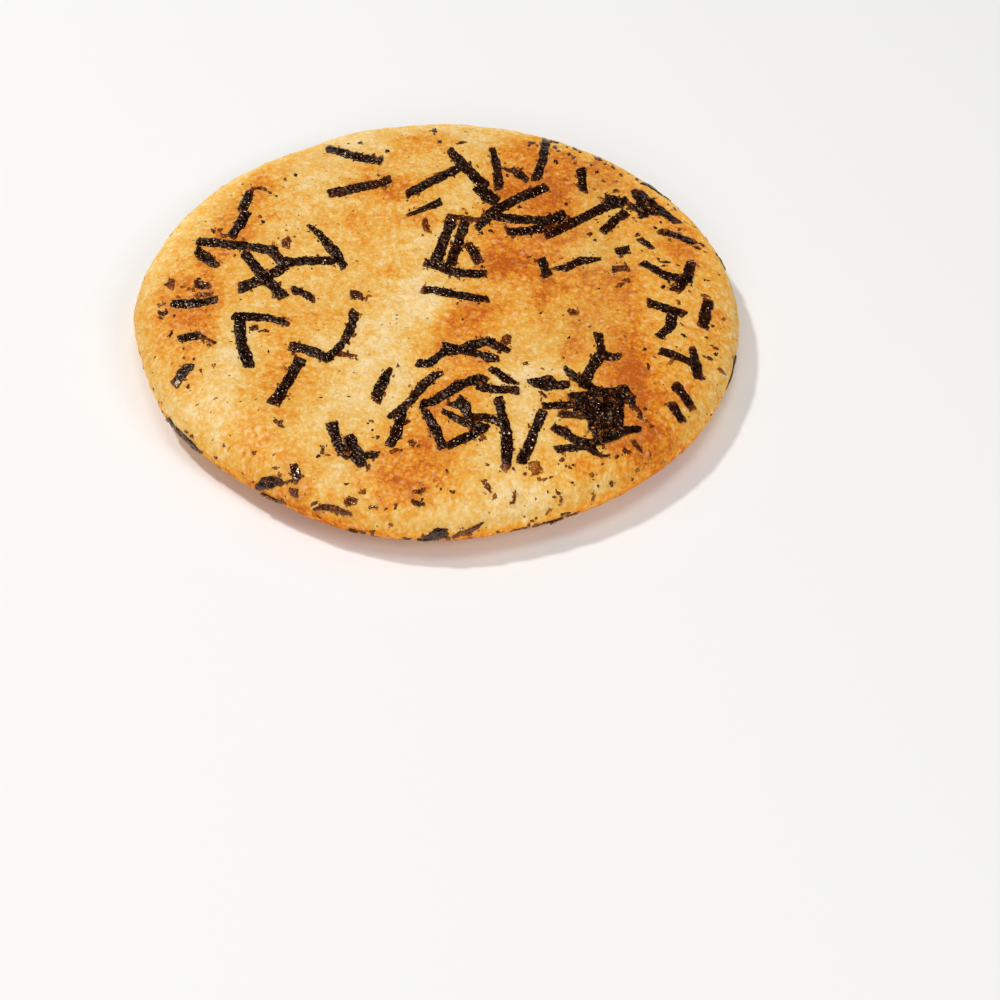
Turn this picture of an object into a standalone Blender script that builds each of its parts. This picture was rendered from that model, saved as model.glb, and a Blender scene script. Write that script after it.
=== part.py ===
"""Nori rice cracker: one round, puffed and baked rice cracker.

A disc with a soft, pillow-like rim and a slightly wavy face. The underside is
flat in the middle, where the cracker lies on a plate, and rounds up into the
rim. The outline is a circle with a few shallow bulges and flats, as puffing
leaves it. Metres, +Z up; the footprint's centre is at the origin.
"""
import math

import bmesh
import bpy

MM = 0.001

# ---- driving sizes, in millimetres ----
RADIUS = 44.1           # nominal radius of the outline
FACE_HEIGHT = 9.15      # height of the upper face above the plate, near its middle
FACE_DOME = 0.55        # how much lower the face is where the rim begins
EQUATOR_HEIGHT = 4.3    # height of the widest line of the rim
UPPER_RIM_WIDTH = 9.0   # how far in from the edge the face begins to round over
LOWER_RIM_WIDTH = 10.0  # the same on the underside, down to the flat middle
ROUNDNESS = 0.92        # exponent of the rim's section: 1 is an ellipse, less is fuller

# Bulges (+) and flats (-) of the outline: (bearing in degrees, height, half width in degrees)
OUTLINE_BULGES = (
    (78.0, 0.70, 22.0),
    (121.0, -0.60, 11.0),
    (180.0, 0.45, 10.0),
    (196.0, -0.40, 8.0),
    (231.0, -0.60, 14.0),
    (264.0, 0.85, 17.0),
    (340.0, -0.20, 26.0),
)

# Long, low waves of the face: (wavelength, heading in degrees, phase in degrees, height)
FACE_WAVES = (
    (41.0, 25.0, 40.0, 0.13),
    (29.0, 112.0, 200.0, 0.10),
    (22.0, 160.0, 310.0, 0.07),
    (17.0, 68.0, 90.0, 0.05),
)

# Puffs (+) and hollows (-) of the face: (x, y, radius, height)
FACE_PUFFS = (
    (17.8, -2.0, 6.5, -0.42),
    (20.4, 11.0, 5.0, 0.28),
    (15.4, -8.6, 5.5, -0.28),
    (22.5, -11.7, 5.0, 0.24),
    (-1.1, -2.3, 8.0, 0.22),
    (-25.0, -24.0, 9.0, 0.20),
    (-19.0, -17.0, 7.0, -0.18),
    (6.1, -6.6, 6.0, -0.12),
    (-36.0, -3.0, 6.0, -0.20),
    (2.0, -33.0, 9.0, 0.15),
    (31.0, 0.0, 7.0, 0.16),
    (-14.0, 24.0, 8.0, 0.14),
)

# ---- fineness of the solid ----
SEGMENTS = 96           # round the outline
FACE_RINGS = 11         # across the upper face
UPPER_RIM_STEPS = 8     # face edge to the widest line
LOWER_RIM_STEPS = 7     # widest line to the flat underside


def outline_radius(bearing):
    """Radius of the outline at a bearing in radians."""
    radius = RADIUS
    for middle, height, half_width in OUTLINE_BULGES:
        off = (math.degrees(bearing) - middle + 180.0) % 360.0 - 180.0
        radius += height * math.exp(-(off / half_width) ** 2)
    return radius


def face_height(x, y):
    """Height of the upper face, before the rim rounds it down."""
    z = FACE_HEIGHT - FACE_DOME * (x * x + y * y) / (RADIUS - UPPER_RIM_WIDTH) ** 2
    for length, heading, phase, height in FACE_WAVES:
        along = x * math.cos(math.radians(heading)) + y * math.sin(math.radians(heading))
        z += height * math.sin(2.0 * math.pi * along / length + math.radians(phase))
    for px, py, radius, height in FACE_PUFFS:
        z += height * math.exp(-((x - px) ** 2 + (y - py) ** 2) / radius ** 2)
    return z


def upper_point(bearing, reach, drop_angle):
    """A point of the upper skin: reach is its radius, drop_angle its place on the rim's quarter round."""
    x, y = reach * math.cos(bearing), reach * math.sin(bearing)
    top = face_height(x, y)
    z = EQUATOR_HEIGHT + (top - EQUATOR_HEIGHT) * math.cos(drop_angle) ** ROUNDNESS
    return x, y, z


def cracker_rings():
    """Rings of points from just off the face's middle, over the rim, to the edge of the flat underside."""
    bearings = [2.0 * math.pi * i / SEGMENTS for i in range(SEGMENTS)]
    rings = []
    for k in range(1, FACE_RINGS + 1):
        share = k / FACE_RINGS
        rings.append([upper_point(b, (outline_radius(b) - UPPER_RIM_WIDTH) * share, 0.0) for b in bearings])
    for k in range(1, UPPER_RIM_STEPS + 1):
        a = 0.5 * math.pi * k / UPPER_RIM_STEPS
        out = math.sin(a) ** ROUNDNESS
        a = min(a, 0.5 * math.pi - 1e-9)
        rings.append([upper_point(b, outline_radius(b) - UPPER_RIM_WIDTH * (1.0 - out), a) for b in bearings])
    for k in range(1, LOWER_RIM_STEPS + 1):
        a = 0.5 * math.pi * (1.0 - k / LOWER_RIM_STEPS)
        out = math.sin(a) ** ROUNDNESS
        z = EQUATOR_HEIGHT * (1.0 - math.cos(a) ** ROUNDNESS)
        if k == LOWER_RIM_STEPS:
            z = 0.0
        ring = []
        for b in bearings:
            reach = outline_radius(b) - LOWER_RIM_WIDTH * (1.0 - out)
            ring.append((reach * math.cos(b), reach * math.sin(b), z))
        rings.append(ring)
    return rings


def build_cracker():
    rings = cracker_rings()
    xs = [p[0] for ring in rings for p in ring]
    ys = [p[1] for ring in rings for p in ring]
    # the footprint's box is centred on the origin
    cx, cy = 0.5 * (min(xs) + max(xs)), 0.5 * (min(ys) + max(ys))

    bm = bmesh.new()
    loops = []
    for ring in rings:
        loops.append([bm.verts.new(((x - cx) * MM, (y - cy) * MM, z * MM)) for x, y, z in ring])
    top = bm.verts.new((-cx * MM, -cy * MM, face_height(0.0, 0.0) * MM))
    bottom = bm.verts.new((-cx * MM, -cy * MM, 0.0))

    n = SEGMENTS
    first, last = loops[0], loops[-1]
    for i in range(n):
        j = (i + 1) % n
        bm.faces.new((top, first[i], first[j]))
        bm.faces.new((bottom, last[j], last[i]))
    for inner, outer in zip(loops, loops[1:]):
        for i in range(n):
            j = (i + 1) % n
            bm.faces.new((inner[i], outer[i], outer[j], inner[j]))
    bm.normal_update()
    for face in bm.faces:
        face.smooth = True

    mesh = bpy.data.meshes.new("cracker")
    bm.to_mesh(mesh)
    bm.free()
    return bpy.data.objects.new("cracker", mesh)


def crumb_material():
    """Baked rice crumb: pale gold, matt with a faint oily sheen."""
    material = bpy.data.materials.new("baked_rice_crumb")
    material.use_nodes = True
    shader = material.node_tree.nodes["Principled BSDF"]
    shader.inputs["Base Color"].default_value = (0.80, 0.50, 0.19, 1.0)
    shader.inputs["Roughness"].default_value = 0.62
    shader.inputs["Metallic"].default_value = 0.0
    material.diffuse_color = (0.80, 0.50, 0.19, 1.0)
    return material


def main():
    for old in list(bpy.data.objects):
        bpy.data.objects.remove(old, do_unlink=True)
    cracker = build_cracker()
    cracker.data.materials.append(crumb_material())
    bpy.context.scene.collection.objects.link(cracker)


main()
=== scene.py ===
import math

import bpy
import numpy as np
from mathutils import Matrix, Vector
from mathutils.bvhtree import BVHTree
from mathutils.kdtree import KDTree


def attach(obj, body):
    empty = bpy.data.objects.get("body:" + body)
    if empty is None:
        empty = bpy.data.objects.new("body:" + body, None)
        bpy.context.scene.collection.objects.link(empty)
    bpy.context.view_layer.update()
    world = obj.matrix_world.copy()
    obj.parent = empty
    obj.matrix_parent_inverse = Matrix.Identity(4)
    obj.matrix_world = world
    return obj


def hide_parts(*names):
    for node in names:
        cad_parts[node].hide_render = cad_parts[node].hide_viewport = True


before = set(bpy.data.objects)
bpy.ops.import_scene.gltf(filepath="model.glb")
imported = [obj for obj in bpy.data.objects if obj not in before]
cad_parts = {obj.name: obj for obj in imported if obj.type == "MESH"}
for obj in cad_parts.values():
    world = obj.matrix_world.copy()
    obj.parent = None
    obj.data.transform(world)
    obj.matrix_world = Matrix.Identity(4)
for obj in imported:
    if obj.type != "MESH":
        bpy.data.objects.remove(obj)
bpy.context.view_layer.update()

MM = 0.001

# =====================================================================================================
# Camera. Positions in millimetres; the image is 1000 x 1000.
# =====================================================================================================
EYE = np.array([0.397, -250.533, 222.0])
PITCH, HEADING, ROLL = math.radians(45.68), math.radians(2.23), 0.034
FOCAL_PX = 2250.0


def camera_axes():
    look = np.array([math.sin(HEADING) * math.cos(PITCH), math.cos(HEADING) * math.cos(PITCH), -math.sin(PITCH)])
    level = np.array([math.cos(HEADING), -math.sin(HEADING), 0.0])
    up = np.cross(level, look)
    right = math.cos(ROLL) * level + math.sin(ROLL) * up
    up = -math.sin(ROLL) * level + math.cos(ROLL) * up
    return np.stack([right, up, -look], 1)


AXES = camera_axes()


def to_pixels(points):
    """Where points in millimetres fall in the photograph's frame."""
    q = (points - EYE) @ AXES
    return np.stack([500 + FOCAL_PX * q[..., 0] / -q[..., 2], 500 - FOCAL_PX * q[..., 1] / -q[..., 2]], -1)


def make_camera():
    data = bpy.data.cameras.new("camera")
    data.sensor_width = 36.0
    data.lens = 36.0 * FOCAL_PX / 1000.0
    data.clip_start, data.clip_end = 0.01, 20.0
    obj = bpy.data.objects.new("camera", data)
    bpy.context.scene.collection.objects.link(obj)
    m = Matrix.Identity(4)
    for c in range(3):
        for r in range(3):
            m[r][c] = AXES[r][c]
        m[c][3] = EYE[c] * MM
    obj.matrix_world = m
    bpy.context.scene.camera = obj


make_camera()

# =====================================================================================================
# Noise: the same value at the same place in every run.
# =====================================================================================================
_rs = np.random.RandomState(71)
_grads = _rs.normal(size=(1024, 3))
_grads /= np.linalg.norm(_grads, axis=1)[:, None]
_cells = _rs.random_sample((1024, 4))


def _hash(i, seed):
    h = i[..., 0] * 73856093 ^ i[..., 1] * 19349663 ^ i[..., 2] * 83492791 ^ (seed * 2654435761)
    h = (h ^ (h >> 13)) * 1274126177
    return (h ^ (h >> 16)) & 1023


def noise(p, seed=0):
    """Smooth noise, about -1 to 1, one lump per unit."""
    i = np.floor(p).astype(np.int64)
    f = p - i
    u = f * f * f * (f * (f * 6 - 15) + 10)
    total = np.zeros(len(p))
    for c in range(8):
        o = np.array([c & 1, (c >> 1) & 1, (c >> 2) & 1])
        w = np.prod(np.where(o == 1, u, 1 - u), axis=1)
        total += w * (_grads[_hash(i + o, seed)] * (f - o)).sum(1)
    return total * 1.6


def fbm(p, octaves=3, seed=0, gain=0.5):
    total, amp, norm = np.zeros(len(p)), 1.0, 0.0
    for k in range(octaves):
        total += amp * noise(p * 2.03 ** k + 17.3 * k, seed + 31 * k)
        norm += amp
        amp *= gain
    return total / norm


def cells(p, seed=0):
    """Distance to the nearest of one random point per unit cell, and a random number for that point."""
    base = np.floor(p).astype(np.int64)
    best = np.full(len(p), 9.0)
    tag = np.zeros(len(p))
    for dx in (-1, 0, 1):
        for dy in (-1, 0, 1):
            for dz in (-1, 0, 1):
                c = base + np.array([dx, dy, dz])
                rnd = _cells[_hash(c, seed)]
                d = np.linalg.norm(c + rnd[:, :3] - p, axis=1)
                near = d < best
                best = np.where(near, d, best)
                tag = np.where(near, rnd[:, 3], tag)
    return best, tag


def smoothstep(lo, hi, x):
    t = np.clip((x - lo) / (hi - lo), 0.0, 1.0)
    return t * t * (3 - 2 * t)


# =====================================================================================================
# The cracker's form, as the frame's solid has it, in millimetres.
# =====================================================================================================
RADIUS = 44.1
FACE_HEIGHT = 9.15
FACE_DOME = 0.55
EQUATOR = 4.3
UPPER_RIM = 9.0
LOWER_RIM = 10.0
ROUND = 0.92
BULGES = ((78.0, 0.70, 22.0), (121.0, -0.60, 11.0), (180.0, 0.45, 10.0), (196.0, -0.40, 8.0), (231.0, -0.60, 14.0),
          (264.0, 0.85, 17.0), (340.0, -0.20, 26.0))
WAVES = ((41.0, 25.0, 40.0, 0.13), (29.0, 112.0, 200.0, 0.10), (22.0, 160.0, 310.0, 0.07), (17.0, 68.0, 90.0, 0.05))
PUFFS = ((17.8, -2.0, 6.5, -0.42), (20.4, 11.0, 5.0, 0.28), (15.4, -8.6, 5.5, -0.28), (22.5, -11.7, 5.0, 0.24),
         (-1.1, -2.3, 8.0, 0.22), (-25.0, -24.0, 9.0, 0.20), (-19.0, -17.0, 7.0, -0.18), (6.1, -6.6, 6.0, -0.12),
         (-36.0, -3.0, 6.0, -0.20), (2.0, -33.0, 9.0, 0.15), (31.0, 0.0, 7.0, 0.16), (-14.0, 24.0, 8.0, 0.14))


def outline_radius(b):
    r = np.full(np.shape(b), RADIUS)
    for middle, height, half in BULGES:
        off = (np.degrees(b) - middle + 180.0) % 360.0 - 180.0
        r = r + height * np.exp(-(off / half) ** 2)
    return r


def face_height(x, y):
    z = FACE_HEIGHT - FACE_DOME * (x * x + y * y) / (RADIUS - UPPER_RIM) ** 2
    for length, heading, phase, height in WAVES:
        along = x * math.cos(math.radians(heading)) + y * math.sin(math.radians(heading))
        z = z + height * np.sin(2 * np.pi * along / length + math.radians(phase))
    for px, py, r, height in PUFFS:
        z = z + height * np.exp(-((x - px) ** 2 + (y - py) ** 2) / r ** 2)
    return z


def skin_point(b, t):
    """A ring of the skin. t: 0 the face's middle, 1 where the rim begins, 2 the widest line, 3 the edge of the flat underside, 4 its middle."""
    big = outline_radius(b)
    if t <= 1:
        r, drop = (big - UPPER_RIM) * t, 0.0
    elif t <= 2:
        drop = min((t - 1) * math.pi / 2, math.pi / 2 - 1e-9)
        r = big - UPPER_RIM * (1 - math.sin(drop) ** ROUND)
    elif t <= 3:
        drop = min((3 - t) * math.pi / 2, math.pi / 2 - 1e-9)
        r = big - LOWER_RIM * (1 - max(math.sin(drop), 0.0) ** ROUND)
    else:
        r = (big - LOWER_RIM) * (4 - t)
    x, y = r * np.cos(b), r * np.sin(b)
    if t <= 2:
        z = EQUATOR + (face_height(x, y) - EQUATOR) * math.cos(drop) ** ROUND
    elif t <= 3:
        z = np.full(np.shape(b), EQUATOR * (1 - math.cos(drop) ** ROUND))
    else:
        z = np.zeros(np.shape(b))
    return np.stack([x, y, z], 1)


_b96 = np.arange(96) * 2 * np.pi / 96
_edge = np.stack([outline_radius(_b96) * np.cos(_b96), outline_radius(_b96) * np.sin(_b96)], 1)
MIDDLE = 0.5 * (_edge.min(0) + _edge.max(0))  # the solid's box is centred on the origin


def ring_places(upper_step, lower_step):
    """The rings' places t, evenly spaced along the section, and the spacing at each."""
    ts = np.linspace(0, 4, 4001)
    sec = np.array([skin_point(np.array([0.3]), t)[0] for t in ts])
    run = np.concatenate([[0], np.cumsum(np.linalg.norm(np.diff(sec, axis=0), axis=1))])
    at_equator, at_flat = np.interp(2, ts, run), np.interp(3, ts, run)
    places, gaps, s = [], [], 0.0
    n = max(int(round(at_equator / upper_step)), 1)
    for k in range(n + 1):
        places.append(at_equator * k / n)
        gaps.append(at_equator / n)
    s, end = at_equator, run[-1]
    while True:
        w = min(1.0, (s - at_equator) / 3.0)
        step = upper_step + (lower_step - upper_step) * w
        if s + 1.5 * step >= end:
            break
        s += step
        places.append(s)
        gaps.append(step)
    places.append(end)
    gaps.append(lower_step)
    return np.interp(places, run, ts), np.array(gaps)


def build_skin(upper_step, lower_step):
    """Vertices in millimetres, triangles, and each vertex's place t."""
    ts, gaps = ring_places(upper_step, lower_step)
    verts, place, rings, base = [], [], [], 0
    for k, (t, gap) in enumerate(zip(ts, gaps)):
        if k in (0, len(ts) - 1):
            verts.append(skin_point(np.array([0.0]), t))
            place.append(np.full(1, t))
            rings.append((base, 1, 0.0))
            base += 1
            continue
        reach = np.linalg.norm(skin_point(np.array([0.3]), t)[0][:2])
        n = max(6, int(round(2 * np.pi * reach / (gap * 1.12))))
        phase = 0.5 * (k % 2) / n
        b = (np.arange(n) / n + phase) * 2 * np.pi
        verts.append(skin_point(b, t))
        place.append(np.full(n, t))
        rings.append((base, n, phase))
        base += n
    tris = []
    for (a0, na, pa), (c0, nc, pc) in zip(rings, rings[1:]):
        if na == 1:
            tris += [(a0, c0 + j, c0 + (j + 1) % nc) for j in range(nc)]
            continue
        if nc == 1:
            tris += [(a0 + (i + 1) % na, a0 + i, c0) for i in range(na)]
            continue
        i = j = 0
        while i < na or j < nc:
            next_a = (i + 1) / na + pa
            next_c = (j + 1) / nc + pc
            if j >= nc or (i < na and next_a <= next_c):
                tris.append((a0 + i % na, c0 + j % nc, a0 + (i + 1) % na))
                i += 1
            else:
                tris.append((a0 + i % na, c0 + j % nc, c0 + (j + 1) % nc))
                j += 1
    return np.concatenate(verts), np.array(tris), np.concatenate(place)


def vertex_normals(v, f):
    n = np.cross(v[f[:, 1]] - v[f[:, 0]], v[f[:, 2]] - v[f[:, 0]])
    out = np.zeros_like(v)
    for c in range(3):
        np.add.at(out, f[:, c], n)
    return out / np.maximum(np.linalg.norm(out, axis=1), 1e-12)[:, None]


def new_mesh(name, verts_mm, faces, smooth=True):
    mesh = bpy.data.meshes.new(name)
    mesh.from_pydata((np.asarray(verts_mm) * MM).tolist(), [], [tuple(int(i) for i in f) for f in faces])
    mesh.update()
    if smooth:
        mesh.shade_smooth()
    obj = bpy.data.objects.new(name, mesh)
    bpy.context.scene.collection.objects.link(obj)
    return obj


def add_field(obj, name, values):
    a = obj.data.attributes.new(name, "FLOAT", "POINT")
    a.data.foreach_set("value", np.asarray(values, np.float32))


# =====================================================================================================
# The crumb's relief: soft puffs, lumps of grain, blisters and pits. Height in millimetres along the skin's normal.
# =====================================================================================================
verts, tris, place = build_skin(0.345, 0.53)
verts[:, :2] -= MIDDLE
normals = vertex_normals(verts, tris)
upper = place <= 2.0


def scatter_on_skin(count, seed, lowest=0.0, side="all"):
    """Random skin vertices, evenly by area."""
    rs = np.random.RandomState(seed)
    a = verts[tris]
    area = 0.5 * np.linalg.norm(np.cross(a[:, 1] - a[:, 0], a[:, 2] - a[:, 0]), axis=1)
    mid = a.mean(1)
    if side == "top":
        area = area * (mid[:, 2] > lowest)
    pick = rs.choice(len(tris), size=count, p=area / area.sum())
    return mid[pick], rs


SKIN_LINES = (
    (((549, 264), (553, 276), (562, 284), (576, 285), (588, 277), (592, 268)), 3.2, -0.20),
    (((334, 468), (328, 482), (318, 498)), 4.0, 0.17),
    (((326, 466), (318, 482), (309, 494)), 3.0, -0.08),
    (((470, 300), (486, 296), (502, 304), (512, 320)), 4.5, -0.09),
    (((352, 168), (372, 160), (394, 164)), 4.0, 0.08),
    (((604, 300), (596, 318), (600, 336)), 4.5, -0.10),
    (((225, 350), (236, 372), (232, 396)), 5.0, 0.09),
)


def line_distance(uv, line):
    best = np.full(len(uv), 1e9)
    for (x0, y0), (x1, y1) in zip(line, line[1:]):
        dx, dy = x1 - x0, y1 - y0
        k = np.clip(((uv[:, 0] - x0) * dx + (uv[:, 1] - y0) * dy) / (dx * dx + dy * dy), 0, 1)
        best = np.minimum(best, np.hypot(uv[:, 0] - x0 - k * dx, uv[:, 1] - y0 - k * dy))
    return best


def relief_heights():
    p = verts
    face = smoothstep(1.55, 0.9, place)
    h = 0.14 * fbm(p / 8.5, 2, 3)
    h += 0.105 * fbm(p / 3.4, 2, 11) * (0.8 + 0.4 * face)
    # lumps of puffed grain, stronger in some areas
    d, tag = cells(p / 1.55 + 0.18 * np.stack([noise(p / 1.1, 5), noise(p / 1.1, 6), noise(p / 1.1, 7)], 1), 21)
    area = smoothstep(-0.35, 0.55, fbm(p / 7.0, 2, 41))
    h += (0.040 + 0.060 * area) * (np.clip(1.0 - d, 0, 1) ** 1.5 * (0.4 + 0.9 * tag) - 0.25)
    h += 0.030 * fbm(p / 0.95, 2, 51)
    # the rim is knobblier
    h += 0.16 * fbm(p / 2.3, 2, 71) * smoothstep(1.1, 1.6, place) * smoothstep(2.9, 2.3, place)
    # the puckered patch at the right of the face
    w = np.exp(-(((p[:, 0] - 19.5) / 5.5) ** 2 + ((p[:, 1] - 9.5) / 5.0) ** 2))
    h += 0.10 * w * np.sin(2 * np.pi * p[:, 0] / 1.35 + 2.2 * noise(p / 3.0, 61))
    # creases (-) and ridges (+) of the skin
    uv = to_pixels(p) + 2.0 * np.stack([noise(p / 1.2, 63), noise(p / 1.2, 65)], 1)
    for line, wide, amp in SKIN_LINES:
        h += amp * np.exp(-(line_distance(uv, line) / wide) ** 2) * face
    # blisters and pits
    for count, seed, r0, r1, a0, a1 in ((70, 5, 0.9, 2.0, 0.05, 0.14), (520, 6, 0.28, 0.62, -0.12, -0.05), (260, 8, 0.35, 0.7, 0.04, 0.09)):
        at, rs = scatter_on_skin(count, seed)
        rad = rs.uniform(r0, r1, count)
        amp = rs.uniform(a0, a1, count)
        tree_add(h, at, rad, amp)
    return h


def tree_add(h, at, rad, amp):
    """Adds a round bump of that radius and height at each point."""
    order = np.argsort(verts[:, 0], kind="stable")
    xs = verts[order, 0]
    for c, r, a in zip(at, rad, amp):
        lo, hi = np.searchsorted(xs, (c[0] - r, c[0] + r))
        idx = order[lo:hi]
        q = verts[idx]
        near = np.abs(q[:, 1] - c[1]) < r
        idx, q = idx[near], q[near]
        d2 = ((q - c) ** 2).sum(1) / (r * r)
        k = d2 < 1
        h[idx[k]] += a * (1 - d2[k]) ** 2


relief = relief_heights()
under = smoothstep(2.55, 3.0, place)  # 1 on the flat underside
relief = relief * (1 - 0.35 * smoothstep(2.0, 2.5, place))
shaped = verts + normals * relief[:, None]
# the flat underside keeps touching the surface it lies on: its relief only goes inward
inward = np.clip(0.09 + relief * 1.1, 0.0, 0.5)
flat_z = inward * under
shaped[:, 2] = np.where(place >= 3.0, flat_z, shaped[:, 2] * (1 - under) + under * np.maximum(shaped[:, 2], flat_z))
shaped[:, 2] = np.maximum(shaped[:, 2], 0.0)

# =====================================================================================================
# Toasting: where the crust has coloured, with painted shade in some patches at the right of the face and along the
# front edge. Patches: pixel x, y, half widths across and down, turn in degrees, strength.
# =====================================================================================================
TOAST_AND_PAINTED_SHADE = (
    (188, 305, 36, 26, 0, 0.27), (205, 332, 24, 20, 0, 0.16), (172, 345, 22, 22, 0, 0.10), (214, 252, 15, 34, 30, 0.24),
    (238, 228, 18, 20, 0, 0.14), (257, 187, 20, 20, 0, 0.22), (392, 187, 38, 11, 0, 0.27), (375, 166, 22, 14, 0, 0.12),
    (416, 217, 27, 9, 0, 0.20), (352, 219, 10, 7, 0, 0.14), (420, 140, 32, 13, 0, 0.15), (540, 160, 48, 24, 0, 0.24),
    (577, 176, 44, 22, 0, 0.18), (508, 192, 24, 18, 0, 0.34), (551, 205, 22, 24, 0, 0.38), (530, 232, 62, 13, 0, 0.24),
    (496, 262, 25, 15, 0, 0.40), (524, 264, 20, 13, 0, 0.18), (544, 291, 13, 22, 0, 0.26), (585, 279, 34, 14, 0, 0.24),
    (622, 281, 16, 20, 0, 0.20), (468, 316, 24, 17, -25, 0.34), (484, 306, 11, 9, 0, 0.10), (443, 342, 10, 14, 0, 0.18),
    (470, 347, 26, 24, 0, 0.14), (481, 360, 14, 14, 0, 0.24), (430, 394, 17, 24, 0, 0.24), (466, 390, 11, 10, 0, 0.18),
    (440, 420, 30, 36, 0, 0.12), (410, 470, 50, 36, 0, 0.20), (425, 447, 30, 13, 0, 0.16), (394, 480, 15, 11, 0, 0.10),
    (413, 496, 11, 8, 0, 0.08), (283, 380, 28, 42, 0, 0.15), (299, 354, 8, 8, 0, 0.12), (300, 472, 24, 38, 0, 0.14),
    (250, 476, 26, 10, 25, 0.20), (318, 511, 34, 12, 15, 0.22), (338, 311, 20, 12, 0, 0.10), (290, 320, 20, 11, 0, 0.12),
    # the deep orange patches around pixel x 600 to 670, y 320 to 480 (here and below) are partly toasting and partly
    # painted shadow and warm bounce light from the leaning cracker
    (574, 341, 10, 21, 20, 0.26), (625, 368, 26, 42, 0, 0.36), (642, 405, 26, 30, 0, 0.22), (640, 455, 34, 24, -25, 0.34),
    (608, 430, 14, 26, 0, 0.20), (560, 396, 13, 13, 0, 0.16), (576, 470, 16, 11, 0, 0.12), (184, 385, 10, 14, 0, 0.10),
    (222, 466, 20, 10, 30, 0.14), (395, 272, 8, 8, 0, 0.16),
    # along the front edge: partly toasting, partly painted shade where the front edge turns under
    (248, 452, 34, 18, 35, 0.16), (290, 492, 40, 14, 28, 0.20), (352, 512, 34, 14, 10, 0.14), (408, 508, 30, 22, 0, 0.20),
    (462, 532, 40, 8, -3, 0.10), (592, 492, 44, 13, -24, 0.22), (655, 455, 30, 18, -40, 0.26), (560, 258, 44, 8, 0, 0.12),
    (594, 302, 20, 12, 0, 0.14), (396, 272, 20, 10, -25, 0.10), (415, 346, 10, 12, 0, 0.12), (572, 333, 10, 18, 0, 0.12),
    (632, 325, 12, 34, 0, 0.16), (150, 345, 12, 40, 0, 0.10),
    (520, 250, 40, 14, 0, 0.05), (515, 308, 26, 22, 0, 0.06), (575, 300, 28, 28, 0, 0.05), (245, 430, 14, 18, 0, 0.07),
    (190, 295, 14, 10, 0, 0.10), (210, 229, 9, 8, 0, 0.10), (664, 451, 24, 22, -40, 0.26), (636, 472, 12, 18, 0, 0.14), (641, 381, 8, 30, 0, 0.11), (612, 237, 10, 16, 0, 0.11),
    (600, 172, 20, 8, 0, 0.10), (504, 323, 8, 14, 0, 0.10), (394, 291, 12, 9, 0, 0.08), (362, 182, 10, 11, 0, 0.10),
    (355, 202, 8, 8, 0, 0.08), (372, 243, 16, 6, 0, 0.07), (184, 391, 8, 11, 0, 0.09), (247, 404, 8, 16, 0, 0.09),
    (372, 390, 9, 7, 0, 0.10), (356, 490, 14, 7, 0, 0.08), (531, 469, 8, 12, 0, 0.09), (465, 480, 10, 7, 0, 0.10),
    (322, 508, 14, 10, 0, 0.10), (212, 444, 16, 10, 0, 0.10), (574, 423, 8, 6, 0, 0.10), (588, 279, 7, 8, 0, 0.08),
    (173, 282, 9, 9, 0, 0.11), (165, 307, 7, 6, 0, 0.08), (212, 307, 6, 7, 0, 0.09), (594, 186, 12, 12, 0, 0.07), (530, 476, 9, 7, 0, 0.08),
    (558, 488, 8, 10, 0, 0.09), (484, 292, 7, 6, 0, 0.07), (334, 472, 8, 6, 0, 0.08), (320, 497, 8, 9, 0, 0.08), (646, 458, 10, 10, 0, 0.08),
    # behind the leaning cracker, guessed
    (690, 245, 26, 30, 0, 0.24), (716, 330, 18, 44, 0, 0.16), (690, 400, 24, 26, 0, 0.18), (655, 205, 24, 16, 0, 0.14),
)
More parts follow.
